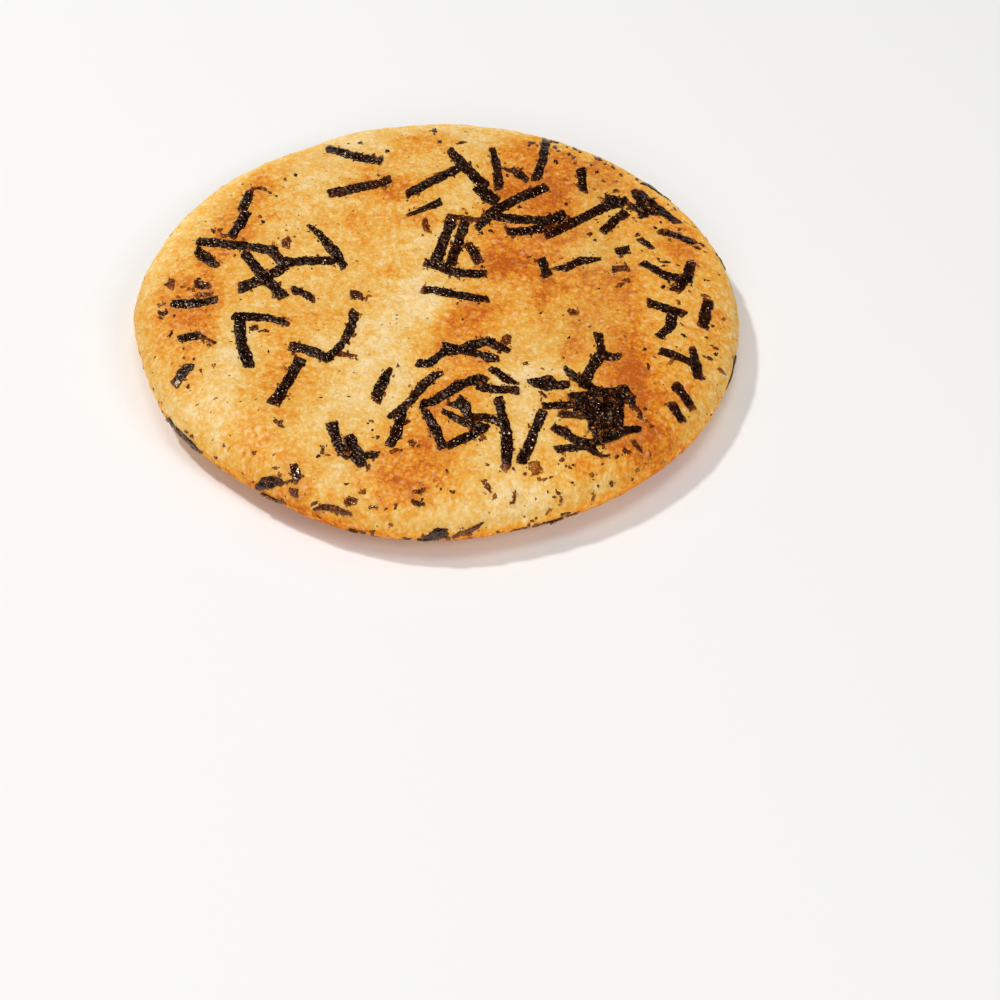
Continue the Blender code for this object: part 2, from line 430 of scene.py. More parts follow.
PALE = (
    (382, 344, 38, 38, 0, 0.22), (375, 396, 46, 28, 0, 0.15), (420, 292, 36, 26, 0, 0.22), (425, 242, 36, 14, 0, 0.17),
    (316, 186, 30, 28, 0, 0.15), (283, 228, 14, 11, 0, 0.12), (310, 255, 14, 10, 0, 0.12), (470, 190, 12, 14, 0, 0.22),
    (470, 155, 14, 10, 0, 0.16), (255, 345, 24, 15, 0, 0.13), (225, 360, 18, 30, 0, 0.12), (322, 342, 24, 14, 0, 0.12),
    (210, 406, 42, 22, 0, 0.16), (222, 430, 22, 18, 0, 0.10), (550, 371, 30, 13, 0, 0.18), (515, 376, 20, 12, 0, 0.14),
    (530, 420, 20, 34, 0, 0.16), (515, 495, 44, 20, 0, 0.22), (455, 518, 42, 12, 0, 0.16), (330, 486, 16, 20, 0, 0.09),
    (592, 249, 24, 13, 0, 0.12), (610, 206, 14, 10, 0, 0.10), (500, 330, 14, 12, 0, 0.10),
    (352, 150, 20, 13, -20, 0.24), (378, 144, 20, 10, 0, 0.16), (460, 136, 16, 8, 0, 0.20), (490, 142, 12, 10, 0, 0.16),
    (428, 148, 10, 10, 0, 0.10), (474, 158, 16, 10, 0, 0.12), (236, 320, 18, 14, 0, 0.22), (270, 308, 26, 14, 0, 0.08),
    (240, 366, 12, 10, 0, 0.12), (322, 410, 38, 14, -12, 0.12), (308, 438, 16, 22, 0, 0.18), (482, 458, 18, 22, 0, 0.15),
    (500, 515, 50, 10, 0, 0.10), (600, 488, 24, 10, -24, 0.12), (548, 500, 24, 8, -15, 0.10), (345, 165, 12, 16, 0, 0.08),
    (228, 352, 14, 22, 0, 0.08), (400, 380, 22, 20, 0, 0.06), (443, 205, 8, 24, 0, 0.07),
    (241, 170, 34, 12, -32, 0.24), (348, 134, 24, 9, -10, 0.08), (394, 127, 44, 8, 0, 0.20), (480, 127, 34, 8, 0, 0.08),
    (425, 173, 10, 14, 0, 0.08), (322, 187, 14, 8, 0, 0.08), (161, 255, 12, 28, 20, 0.12), (191, 227, 12, 20, 40, 0.07),
    (190, 322, 10, 10, 0, 0.10), (214, 340, 9, 20, 0, 0.08), (249, 197, 9, 16, 0, 0.08), (565, 171, 22, 14, -20, 0.12),
    (514, 414, 8, 14, 0, 0.10), (408, 478, 10, 14, 0, 0.10), (356, 422, 14, 9, 0, 0.09), (605, 485, 9, 10, 0, 0.08),
    (462, 343, 22, 6, 0, 0.08), (322, 464, 8, 12, 0, 0.12), (528, 173, 12, 8, 0, 0.12), (440, 232, 8, 14, 0, 0.10), (200, 226, 14, 16, -40, 0.10),
    (562, 293, 16, 5, 8, 0.10), (543, 314, 9, 12, 0, 0.09), (608, 494, 9, 7, 0, 0.09), (345, 520, 10, 6, 0, 0.08), (210, 433, 10, 10, 0, 0.06),
)
TOAST_BASE = 0.348


def patches(uv, table):
    total = np.zeros(len(uv))
    for x, y, rx, ry, turn, amount in table:
        c, s = math.cos(math.radians(turn)), math.sin(math.radians(turn))
        dx, dy = uv[:, 0] - x, uv[:, 1] - y
        a, b = (dx * c + dy * s) / rx, (-dx * s + dy * c) / ry
        total += amount * np.exp(-(a * a + b * b) * 0.9)
    return total


# toasting, with painted shade and light mixed in from the patches, the creases and ridges, and the front edge
def toast_and_painted_shading_field():
    p = verts
    uv = to_pixels(p)
    # the patches' edges wander
    wander = np.stack([noise(p / 3.2, 81) + 0.5 * noise(p / 1.3, 83), noise(p / 3.2, 82) + 0.5 * noise(p / 1.3, 84)], 1)
    uv = uv + wander * 7.5
    face = TOAST_BASE + 1.22 * patches(uv, TOAST_AND_PAINTED_SHADE) - 1.15 * patches(uv, PALE)
    # painted shade along the creases and painted light along the ridges: creases take more colour, ridges less
    for line, wide, amp in SKIN_LINES:
        face -= 1.5 * amp * np.exp(-(line_distance(uv, line) / (1.3 * wide)) ** 2) * (0.7 + 0.6 * noise(p / 0.9, 99))
    # wisps and blotches inside the patches
    wisp = 1.0 - 2.2 * np.abs(fbm(p / 2.6, 2, 93))
    face += 0.10 * fbm(p / 5.0, 2, 91) + 0.13 * fbm(p / 1.8, 2, 95) + 0.06 * wisp * smoothstep(0.25, 0.6, face) + 0.05 * noise(p / 0.8, 97)
    # the rim is paler where it turns down, unevenly
    down = smoothstep(1.18, 1.75, place + 0.10 * fbm(p / 6.0, 2, 101))
    # painted shade: the front of the rim toward its lower edge is made more toasted, standing in for contact shade
    front = smoothstep(-8.0, -32.0, p[:, 1]) * smoothstep(1.82, 2.12, place)
    rim = 0.25 + 0.32 * front - 0.10 * smoothstep(8.0, 30.0, p[:, 1]) + 0.10 * fbm(p / 7.0, 2, 105) + 0.06 * fbm(p / 1.6, 2, 107) + 0.50 * (face - TOAST_BASE)
    top = face * (1 - down) + rim * down
    # the underside: evenly baked, browner in a broken ring where it lay on the sheet
    reach = np.linalg.norm(p[:, :2], axis=1)
    ring = np.exp(-((reach - 31.0 - 2.0 * fbm(p / 9.0, 2, 111)) / 4.5) ** 2)
    low = 0.30 + 0.22 * ring * smoothstep(-0.4, 0.5, fbm(p / 11.0, 2, 113)) + 0.13 * fbm(p / 6.5, 3, 115) + 0.08 * fbm(p / 1.7, 2, 117)
    # painted shade: the lower rim at the front is made browner toward the bottom
    low += 0.16 * smoothstep(-8.0, -32.0, p[:, 1]) * smoothstep(2.75, 2.2, place)
    w = smoothstep(2.2, 2.9, place)
    return np.clip(top * (1 - w) + low * w, 0.0, 1.0)


toast_and_painted_shading = toast_and_painted_shading_field()

# painted shade: duller, a little darker skin standing in for the shadow of the leaning cracker at the right and the
# shade over hollows of the surface
PAINTED_SHADE = (
    (590, 250, 34, 22, 0, 0.24), (566, 332, 28, 26, 0, 0.22), (470, 172, 20, 12, 0, 0.08), (322, 300, 24, 16, 0, 0.06), (525, 352, 20, 10, 0, 0.08),
    (600, 280, 26, 44, 0, 0.12), (597, 192, 22, 22, 0, 0.40), (606, 320, 24, 44, 0, 0.14), (330, 472, 38, 22, 0, 0.13), (280, 470, 14, 16, 0, 0.08), (548, 392, 14, 8, 0, 0.16),
)
painted_shade_and_stain = patches(to_pixels(verts), PAINTED_SHADE) * smoothstep(2.0, 1.6, place) * (0.75 + 0.5 * fbm(verts / 1.6, 2, 131))

# =====================================================================================================
# Materials.
# =====================================================================================================


class Net:
    """A short way to write a material's nodes."""

    def __init__(self, name):
        self.material = bpy.data.materials.new(name)
        self.material.use_nodes = True
        self.tree = self.material.node_tree
        self.shader = self.tree.nodes["Principled BSDF"]

    def node(self, kind, **settings):
        n = self.tree.nodes.new(kind)
        for k, v in settings.items():
            setattr(n, k, v)
        return n

    def link(self, a, b):
        self.tree.links.new(a, b)

    def put(self, value, socket):
        if isinstance(value, bpy.types.NodeSocket):
            self.link(value, socket)
        else:
            socket.default_value = value

    def place(self, per_mm):
        """Object coordinates, in units of so many per millimetre."""
        c = self.node("ShaderNodeTexCoord")
        m = self.node("ShaderNodeVectorMath", operation="SCALE")
        self.link(c.outputs["Object"], m.inputs[0])
        m.inputs["Scale"].default_value = per_mm / MM
        return m.outputs["Vector"]

    def noise(self, size_mm, detail=2.0, rough=0.5, shift=0.0, distort=0.0, stretch=1.0):
        n = self.node("ShaderNodeTexNoise", noise_dimensions="3D")
        v = self.place(1.0)
        if stretch != 1.0:
            k = self.node("ShaderNodeVectorMath", operation="MULTIPLY")
            self.link(v, k.inputs[0])
            k.inputs[1].default_value = (1.0, 1.0 / stretch, 1.0 / stretch)
            v = k.outputs["Vector"]
        if shift:
            a = self.node("ShaderNodeVectorMath", operation="ADD")
            self.link(v, a.inputs[0])
            a.inputs[1].default_value = (shift, shift * 0.7, -shift)
            v = a.outputs["Vector"]
        self.link(v, n.inputs["Vector"])
        n.inputs["Scale"].default_value = 1.0 / size_mm
        n.inputs["Detail"].default_value = detail
        n.inputs["Roughness"].default_value = rough
        n.inputs["Distortion"].default_value = distort
        return n.outputs["Fac"]

    def cells(self, size_mm, feature="F1", random=1.0):
        n = self.node("ShaderNodeTexVoronoi", feature=feature)
        self.link(self.place(1.0), n.inputs["Vector"])
        n.inputs["Scale"].default_value = 1.0 / size_mm
        n.inputs["Randomness"].default_value = random
        return n

    def grains(self, size_mm, wander_mm):
        """Rounded cells with crooked borders: 1 in the middle of each, 0 on the lines between."""
        n = self.node("ShaderNodeTexVoronoi", feature="SMOOTH_F1")
        bend = self.node("ShaderNodeTexNoise", noise_dimensions="3D")
        v = self.place(1.0)
        self.link(v, bend.inputs["Vector"])
        bend.inputs["Scale"].default_value = 0.8 / size_mm
        bend.inputs["Detail"].default_value = 1.0
        shift = self.node("ShaderNodeVectorMath", operation="MULTIPLY_ADD")
        self.link(bend.outputs["Color"], shift.inputs[0])
        shift.inputs[1].default_value = (2 * wander_mm,) * 3
        self.link(v, shift.inputs[2])
        self.link(shift.outputs["Vector"], n.inputs["Vector"])
        n.inputs["Scale"].default_value = 1.0 / size_mm
        n.inputs["Smoothness"].default_value = 0.25
        return self.spread(n.outputs["Distance"], 0.62, 0.12)

    def math(self, op, a, b=0.0, c=None, clamp=False):
        n = self.node("ShaderNodeMath", operation=op, use_clamp=clamp)
        self.put(a, n.inputs[0])
        self.put(b, n.inputs[1])
        if c is not None:
            self.put(c, n.inputs[2])
        return n.outputs[0]

    def spread(self, value, lo, hi, to_lo=0.0, to_hi=1.0):
        n = self.node("ShaderNodeMapRange", clamp=True)
        self.link(value, n.inputs["Value"])
        for k, v in (("From Min", lo), ("From Max", hi), ("To Min", to_lo), ("To Max", to_hi)):
            n.inputs[k].default_value = v
        return n.outputs["Result"]

    def field(self, name):
        n = self.node("ShaderNodeAttribute", attribute_name=name)
        return n.outputs["Fac"]

    def ramp(self, fac, stops):
        n = self.node("ShaderNodeValToRGB")
        e = n.color_ramp.elements
        while len(e) > 1:
            e.remove(e[0])
        e[0].position, e[0].color = stops[0][0], (*stops[0][1], 1.0)
        for pos, colour in stops[1:]:
            s = e.new(pos)
            s.color = (*colour, 1.0)
        self.link(fac, n.inputs["Fac"])
        return n.outputs["Color"]

    def mix(self, fac, a, b, blend="MIX"):
        n = self.node("ShaderNodeMix", data_type="RGBA", blend_type=blend, clamp_factor=True)
        self.put(fac, n.inputs[0])
        self.put(a, n.inputs[6])
        self.put(b, n.inputs[7])
        return n.outputs[2]

    def bump(self, height, distance, strength=1.0, normal=None):
        n = self.node("ShaderNodeBump")
        n.inputs["Strength"].default_value = strength
        n.inputs["Distance"].default_value = distance * MM
        self.link(height, n.inputs["Height"])
        if normal is not None:
            self.link(normal, n.inputs["Normal"])
        return n.outputs["Normal"]


def srgb(r, g, b):
    def lin(c):
        c = c / 255.0
        return c / 12.92 if c <= 0.04045 else ((c + 0.055) / 1.055) ** 2.4
    return lin(r), lin(g), lin(b)


def crumb_material():
    m = Net("baked_rice_crumb")
    toast_and_painted_shading = m.field("toast_and_painted_shading")
    height = m.field("relief")
    mid = m.noise(1.5, 4.0, 0.62, 3.0, 0.6, 1.2)
    fine = m.noise(0.60, 2.0, 0.6, 9.0, 0.4, 1.3)
    grit = m.noise(0.40, 1.0, 0.5, 21.0, 0.0, 1.3)
    # puffed grains: pale in their middles, coloured along the lines between them
    grain = m.math("MULTIPLY_ADD", m.grains(0.62, 0.30), 0.62, m.math("MULTIPLY", m.grains(1.15, 0.45), 0.38))
    # the grain shows more where the crust has coloured
    gain = m.spread(toast_and_painted_shading, 0.15, 0.75, 0.70, 1.5)
    t = m.math("MULTIPLY_ADD", m.math("SUBTRACT", mid, 0.5), 0.66, toast_and_painted_shading)
    t = m.math("MULTIPLY_ADD", m.math("MULTIPLY", m.math("SUBTRACT", 0.30, grain), gain), 0.34, t)
    t = m.math("MULTIPLY_ADD", m.math("MULTIPLY", m.math("SUBTRACT", fine, 0.5), gain), 0.40, t)
    t = m.math("MULTIPLY_ADD", m.math("MULTIPLY", m.math("SUBTRACT", grit, 0.5), gain), 0.22, t)
    # bumps colour sooner than hollows
    t = m.math("MULTIPLY_ADD", height, 0.70, t)
    # deeper spots inside the coloured patches
    scorch = m.math("MULTIPLY", m.spread(m.noise(1.05, 3.0, 0.6, 33.0, 0.8), 0.54, 0.68), m.spread(toast_and_painted_shading, 0.28, 0.62))
    t = m.math("MULTIPLY_ADD", scorch, 0.26, t)
    colour = m.ramp(t, (
        (0.00, srgb(242, 213, 158)), (0.12, srgb(239, 202, 133)), (0.25, srgb(235, 187, 99)), (0.38, srgb(233, 173, 74)),
        (0.50, srgb(230, 158, 50)), (0.64, srgb(225, 138, 30)), (0.78, srgb(215, 118, 17)), (1.00, srgb(187, 87, 8)),
    ))
    # starchy light grains and darker pores
    few = m.spread(toast_and_painted_shading, 0.50, 0.85, 1.0, 0.45)
    light = m.math("MULTIPLY", m.spread(grit, 0.52, 0.80), few)
    dark = m.spread(grit, 0.46, 0.26)
    colour = m.mix(m.math("MULTIPLY", light, 0.30), colour, (0.97, 0.70, 0.32, 1.0))
    colour = m.mix(m.math("MULTIPLY", dark, 0.38), colour, (0.54, 0.21, 0.030, 1.0))
    # painted highlights: sparse pale cream spots standing in for glints on the crust
    painted_glint = m.math("MULTIPLY", m.spread(m.noise(0.75, 0.5, 0.5, 45.0, 0.0, 1.3), 0.60, 0.78), few)
    colour = m.mix(m.math("MULTIPLY", painted_glint, 0.34), colour, (1.0, 0.80, 0.48, 1.0))
    # painted shade, and the stain beside the nori: the skin is pulled toward a dull tan
    colour = m.mix(m.field("painted_shade_and_stain"), colour, (0.55, 0.33, 0.085, 1.0))
    # painted light: the rim's colour is brightened, as if the thin rim let light through
    colour = m.mix(m.field("rim"), colour, (1.20, 1.17, 1.05, 1.0), "MULTIPLY")
    # sparse brown specks
    v = m.cells(1.9)
    sep = m.node("ShaderNodeSeparateColor")
    m.link(v.outputs["Color"], sep.inputs[0])
    rare = m.math("GREATER_THAN", sep.outputs[0], 0.74)
    dot = m.spread(v.outputs["Distance"], 0.125, 0.07)
    speck = m.math("MULTIPLY", m.math("MULTIPLY", dot, rare), 0.75)
    colour = m.mix(speck, colour, (0.20, 0.085, 0.022, 1.0))
    m.link(colour, m.shader.inputs["Base Color"])
    rough = m.spread(fine, 0.3, 0.7, 0.34, 0.60)
    m.link(m.math("MULTIPLY_ADD", m.field("rim"), 0.36, rough), m.shader.inputs["Roughness"])
    m.shader.inputs["Specular IOR Level"].default_value = 0.15
    m.shader.inputs["Subsurface Weight"].default_value = 0.08
    m.shader.inputs["Subsurface Radius"].default_value = (1.0, 0.55, 0.25)
    m.shader.inputs["Subsurface Scale"].default_value = 0.0006
    n1 = m.bump(grain, 0.085, 1.0)
    n2 = m.bump(fine, 0.14, 1.0, n1)
    n3 = m.bump(grit, 0.07, 1.0, n2)
    m.link(n3, m.shader.inputs["Normal"])
    return m.material


def nori_material():
    m = Net("roasted_nori")
    tone = m.field("tone")
    wrinkle = m.noise(0.85, 0.6, 0.5, 4.0)
    bead = m.grains(0.60, 0.22)
    pore = m.noise(0.30, 1.0, 0.6, 14.0)
    t = m.math("MULTIPLY_ADD", m.math("SUBTRACT", m.noise(0.8, 3.0, 0.6, 27.0), 0.5), 0.75, tone)
    t = m.math("MULTIPLY_ADD", m.math("SUBTRACT", pore, 0.5), 0.34, t)
    t = m.math("MULTIPLY_ADD", m.spread(m.noise(0.42, 1.0, 0.6, 61.0), 0.57, 0.74), 0.16, t)
    t = m.math("ADD", t, 0.10)
    colour = m.ramp(t, (
        (0.00, (0.0030, 0.0006, 0.0004)), (0.12, (0.0110, 0.0022, 0.0009)), (0.28, (0.044, 0.0085, 0.0018)),
        (0.50, (0.165, 0.030, 0.0035)), (0.74, (0.38, 0.105, 0.010)), (1.00, (0.68, 0.26, 0.028)),
    ))
    m.link(colour, m.shader.inputs["Base Color"])
    # glossier where more of the glaze has dried on it
    glaze = m.spread(m.noise(3.2, 2.0, 0.6, 71.0), 0.40, 0.64)
    m.link(m.math("MULTIPLY_ADD", glaze, -0.16, m.spread(pore, 0.35, 0.65, 0.32, 0.46)), m.shader.inputs["Roughness"])
    m.shader.inputs["Specular IOR Level"].default_value = 0.95
    m.shader.inputs["Specular Tint"].default_value = (1.0, 0.77, 0.55, 1.0)
    n1 = m.bump(wrinkle, 0.24, 1.0)
    n2 = m.bump(bead, 0.16, 1.0, n1)
    m.link(n2, m.shader.inputs["Normal"])
    return m.material


# =====================================================================================================
# The crumb.
# =====================================================================================================
body = new_mesh("cracker_crumb", shaped, tris)
add_field(body, "toast_and_painted_shading", toast_and_painted_shading)
add_field(body, "relief", relief)
add_field(body, "painted_shade_and_stain", np.clip(painted_shade_and_stain, 0.0, 1.0))
behind = smoothstep(-6.0, 18.0, verts[:, 1])
# rim: where the rim's colour is brightened with painted light and made rougher, reaching further up the rim at the back
add_field(body, "rim", np.clip(1.25 * behind * smoothstep(1.05, 1.75, place) + 1.15 * (1 - behind) * smoothstep(1.74, 2.05, place), 0, 1.15) * smoothstep(2.9, 2.3, place))
body.data.materials.append(crumb_material())
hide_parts("cracker")
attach(body, "root")

# =====================================================================================================
# Nori: strips and flakes laid on the skin.
# =====================================================================================================
skin_tree = BVHTree.FromPolygons(shaped.tolist(), tris.tolist())
shaped_normals = vertex_normals(shaped, tris)
soft_normals = normals


def cast(origin, direction):
    """Where a ray meets the skin, and the skin's broad normal there."""
    hit, _, index, _ = skin_tree.ray_cast(Vector(origin), Vector(direction))
    if hit is None:
        return None
    n = soft_normals[tris[index]].mean(0)
    return np.array(hit), n / np.linalg.norm(n)


def by_pixel(u, v):
    """The skin's point that shows at a pixel of the photograph. Just outside the outline, the nearest point inside it."""
    for k in range(12):
        q = AXES @ np.array([(u - 500) / FOCAL_PX, -(v - 500) / FOCAL_PX, -1.0])
        got = cast(EYE, q / np.linalg.norm(q))
        if got is not None:
            return got
        u, v = u + (439 - u) * 0.012, v + (331 - v) * 0.012
    return None


def from_above(x, y):
    for k in range(12):
        got = cast((x, y, 30.0), (0.0, 0.0, -1.0))
        if got is not None:
            return got
        x, y = x * 0.985, y * 0.985
    return None


def from_below(x, y):
    for k in range(12):
        got = cast((x, y, -30.0), (0.0, 0.0, 1.0))
        if got is not None:
            return got
        x, y = x * 0.985, y * 0.985
    return None


def from_side(bearing_mm, z):
    """From outside: the first number is the way round the rim in millimetres, from +X."""
    b = bearing_mm / RADIUS
    out = np.array([math.cos(b), math.sin(b), 0.0])
    return cast(out * 80 + np.array([0, 0, z]), -out)


WAYS = {"photo": (by_pixel, 6.8), "above": (from_above, 1.0), "below": (from_below, 1.0), "side": (from_side, 1.0)}

# How high nori already lies on the face, on a grid of 0.12 mm
CELL = 0.12
HALF = 48.0
GRID = int(2 * HALF / CELL)
heap = np.zeros((GRID, GRID))


def heap_at(p):
    i = np.clip(((p[..., 0] + HALF) / CELL).astype(int), 0, GRID - 1)
    j = np.clip(((p[..., 1] + HALF) / CELL).astype(int), 0, GRID - 1)
    return heap[i, j]


def heap_raise(p, h):
    """p: grid of points (n, m, 3), h their new height (n, m). Filled in densely."""
    n, m = h.shape
    for a in np.linspace(0, 1, 4):
        for b in np.linspace(0, 1, 4):
            w = ((1 - a) * (1 - b), a * (1 - b), (1 - a) * b, a * b)
            q = w[0] * p[:-1, :-1] + w[1] * p[1:, :-1] + w[2] * p[:-1, 1:] + w[3] * p[1:, 1:]
            k = w[0] * h[:-1, :-1] + w[1] * h[1:, :-1] + w[2] * h[:-1, 1:] + w[3] * h[1:, 1:]
            i = np.clip(((q[..., 0] + HALF) / CELL).astype(int), 0, GRID - 1)
            j = np.clip(((q[..., 1] + HALF) / CELL).astype(int), 0, GRID - 1)
            np.maximum.at(heap, (i, j), k)


def smooth_rows(a, times):
    for _ in range(times):
        b = a.copy()
        b[1:-1] = 0.25 * a[:-2] + 0.5 * a[1:-1] + 0.25 * a[2:]
        a = b
    return a


def even_line(points, step):
    """Even points along a line whose corners are a little rounded, how far along each lies, 0 to 1, and the run."""
    p = np.asarray(points, float)
    legs = np.concatenate([[0], np.cumsum(np.linalg.norm(np.diff(p, axis=0), axis=1))])
    n = max(int(round(legs[-1] / step)), 4)
    s = np.linspace(0, legs[-1], n + 1)
    key = np.interp(s, legs, np.linspace(0, 1, len(p)))
    q = np.stack([np.interp(s, legs, p[:, 0]), np.interp(s, legs, p[:, 1])], 1)
    if len(p) > 2:
        for _ in range(9):
            q[1:-1] = 0.25 * q[:-2] + 0.5 * q[1:-1] + 0.25 * q[2:]
    return q, key, s


class Pile:
    """Many closed bodies gathered into one mesh."""

    def __init__(self):
        self.v, self.f, self.tone, self.n = [], [], [], 0

    def slab(self, top, bottom, tone):
        """A closed slab between two grids of points (n, m, 3)."""
        n, m = top.shape[:2]
        idx = np.arange(n * m).reshape(n, m) + self.n
        low = idx + n * m
        quads = []
        a, b, c, d = idx[:-1, :-1], idx[1:, :-1], idx[1:, 1:], idx[:-1, 1:]
        quads.append(np.stack([a, b, c, d], -1).reshape(-1, 4))
        a, b, c, d = low[:-1, :-1], low[:-1, 1:], low[1:, 1:], low[1:, :-1]
        quads.append(np.stack([a, b, c, d], -1).reshape(-1, 4))
        for line, under_line in ((idx[:, 0], low[:, 0]), (idx[-1, :], low[-1, :]), (idx[::-1, -1], low[::-1, -1]), (idx[0, ::-1], low[0, ::-1])):
            quads.append(np.stack([line[1:], line[:-1], under_line[:-1], under_line[1:]], -1))
        self.v += [top.reshape(-1, 3), bottom.reshape(-1, 3)]
        self.f.append(np.concatenate(quads))
        self.tone += [tone.reshape(-1), np.minimum(tone.reshape(-1) + 0.05, 1)]
        self.n += 2 * n * m

    def chip(self, rim, middle, low_rim, tone):
        """A small closed flake: a rim of points, a middle point above it and the rim again below."""
        k = len(rim)
        base = self.n
        self.v += [rim, middle[None], low_rim, low_rim.mean(0)[None]]
        up, lo = base + k, base + 2 * k + 1
        f = []
        for i in range(k):
            j = (i + 1) % k
            f.append((base + i, base + j, up))
            f.append((base + k + 1 + j, base + k + 1 + i, lo))
            f.append((base + j, base + i, base + k + 1 + i))
            f.append((base + j, base + k + 1 + i, base + k + 1 + j))
        self.f.append(f)
        self.tone += [np.full(2 * k + 2, tone)]
        self.n += 2 * k + 2

    def build(self, name, material):
        faces = [tuple(int(i) for i in q) for block in self.f for q in block]
        obj = new_mesh(name, np.concatenate(self.v), faces)
        add_field(obj, "tone", np.clip(np.concatenate(self.tone), 0, 1))
        obj.data.materials.append(material)
        return obj


def lay_strip(pile, points, widths, tone=0.0, ends=(None, None), way="photo", seed=0, thick=0.13, curl=(0.0, 0.0), jag=1.0, tilt=0.04, roll=0.0):
    """A shred of nori: a line of points and its width along it, in the way's own units."""
    rs = np.random.RandomState(1000 + seed)
    find, per_mm = WAYS[way]
    centre, key, run = even_line(points, 0.18 * per_mm)
    n = len(centre)
    widths = 0.95 * np.atleast_1d(np.asarray(widths, float))
    w = np.interp(key, np.linspace(0, 1, len(widths)), widths) if len(widths) > 1 else np.full(n, widths[0])
    along = np.gradient(centre, axis=0)
    along /= np.maximum(np.linalg.norm(along, axis=1), 1e-9)[:, None]
    side = np.stack([-along[:, 1], along[:, 0]], 1)
    across = max(5, int(round(w.max() / per_mm / 0.21)) + 1)
    across += 1 - across % 2
    u = np.linspace(-1, 1, across)
    # torn edges: each side wanders on its own, with small notches and whiskers
    s_mm = run / per_mm
    z = np.zeros(n)

    def torn(k):
        slow = noise(np.stack([s_mm / 1.4, z + seed + k, z], 1), 201)
        quick = noise(np.stack([s_mm / 0.50, z + seed + k, z], 1), 203)
        nick = rs.uniform(-1, 1, n)
        return jag * (0.13 * slow * w / per_mm + 0.13 * quick + 0.06 * nick)

    rounded = 1 - rs.uniform(0.0, 0.3) * np.clip(1 - s_mm / 0.4, 0, 1) ** 2 - rs.uniform(0.0, 0.3) * np.clip(1 - (s_mm[-1] - s_mm) / 0.4, 0, 1) ** 2
    half = 0.5 * w / per_mm * rounded
    left, right = np.maximum(half + torn(0.2), 0.08), np.maximum(half + torn(0.7), 0.08)
    reach = np.where(u[None, :] < 0, left[:, None], right[:, None]) * u[None, :] * per_mm
    # ends cut at a slant and frayed
    slant = rs.uniform(-0.45, 0.45, 2)
    fray = rs.uniform(-1, 1, (2, across)) * 0.10 * per_mm
    near_start = np.clip(1 - s_mm / 1.0, 0, 1)[:, None]
    near_end = np.clip(1 - (s_mm[-1] - s_mm) / 1.0, 0, 1)[:, None]
    push = near_start * (slant[0] * u * 0.5 * w[0] + fray[0])[None, :] + near_end * (slant[1] * u * 0.5 * w[-1] + fray[1])[None, :]
    flat = centre[:, None, :] + side[:, None, :] * reach[..., None] + along[:, None, :] * push[..., None]

    base, norm = np.zeros((n, across, 3)), np.zeros((n, across, 3))
    ok = np.zeros((n, across), bool)
    for i in range(n):
        for j in range(across):
            got = find(*flat[i, j])
            if got is not None:
                base[i, j], norm[i, j] = got
                ok[i, j] = True
    if not ok.any():
        return
    for i, j in np.argwhere(~ok):
        k = np.argwhere(ok)
        a, b = k[np.abs(k - (i, j)).sum(1).argmin()]
        base[i, j], norm[i, j] = base[a, b], norm[a, b]

    on_face = way in ("photo", "above")
    lift = heap_at(base) if on_face else np.zeros((n, across))
    if on_face and lift.max() > 0:
        wide = lift.copy()
        for _ in range(3):  # the strip bridges over what it crosses, before and after it
            wide[1:-1] = np.maximum(wide[1:-1], np.maximum(wide[:-2], wide[2:]) - 0.045)
        wide = smooth_rows(wide, 5)
        wide = 0.5 * wide + 0.5 * wide.mean(1, keepdims=True)
        lift = np.maximum(wide, lift * 0.95)
    curl_up = curl[0] * np.clip(1 - s_mm / 1.6, 0, 1) ** 2 + curl[1] * np.clip(1 - (s_mm[-1] - s_mm) / 1.6, 0, 1) ** 2
    cup = rs.uniform(-0.04, 0.06)
    edge = np.abs(u)[None, :] ** 4
    here = base.reshape(-1, 3)
    rough = (0.060 * noise(here / 1.2, 219) + 0.055 * noise(here / 0.70, 221) + 0.018 * noise(here / 0.40, 223)).reshape(n, across)
    lean = (0.05 * noise(np.stack([s_mm / 2.2, z + seed, z + 0.5], 1), 227) + rs.uniform(-tilt, tilt) + roll)[:, None] * u[None, :]
    up = lift + curl_up[:, None] + thick * (1 - 0.4 * edge) + cup * (u[None, :] ** 2) + lean + rough * (1 - 0.25 * edge)
    up = np.maximum(up, lift + curl_up[:, None] + 0.065)
    down = np.where(lift > 0.05, lift - 0.04, -0.14) + curl_up[:, None]
    top = base + norm * up[..., None]
    bottom = base + norm * np.minimum(down, up - 0.06)[..., None]

    t = np.full((n, across), float(tone))
    a = ends[0] if ends[0] is not None else tone
    b = ends[1] if ends[1] is not None else tone
    t += (a - tone) * np.clip(1 - s_mm / 0.9, 0, 1)[:, None] + (b - tone) * np.clip(1 - (s_mm[-1] - s_mm) / 0.9, 0, 1)[:, None]
    t += 0.07 * edge + 0.10 * np.maximum(near_start, near_end) ** 4 - 0.09 * smoothstep(0.02, 0.10, lift)
    pile.slab(top, bottom, np.clip(t, 0, 1))
    if on_face:
        heap_raise(base, np.maximum(up, 0))


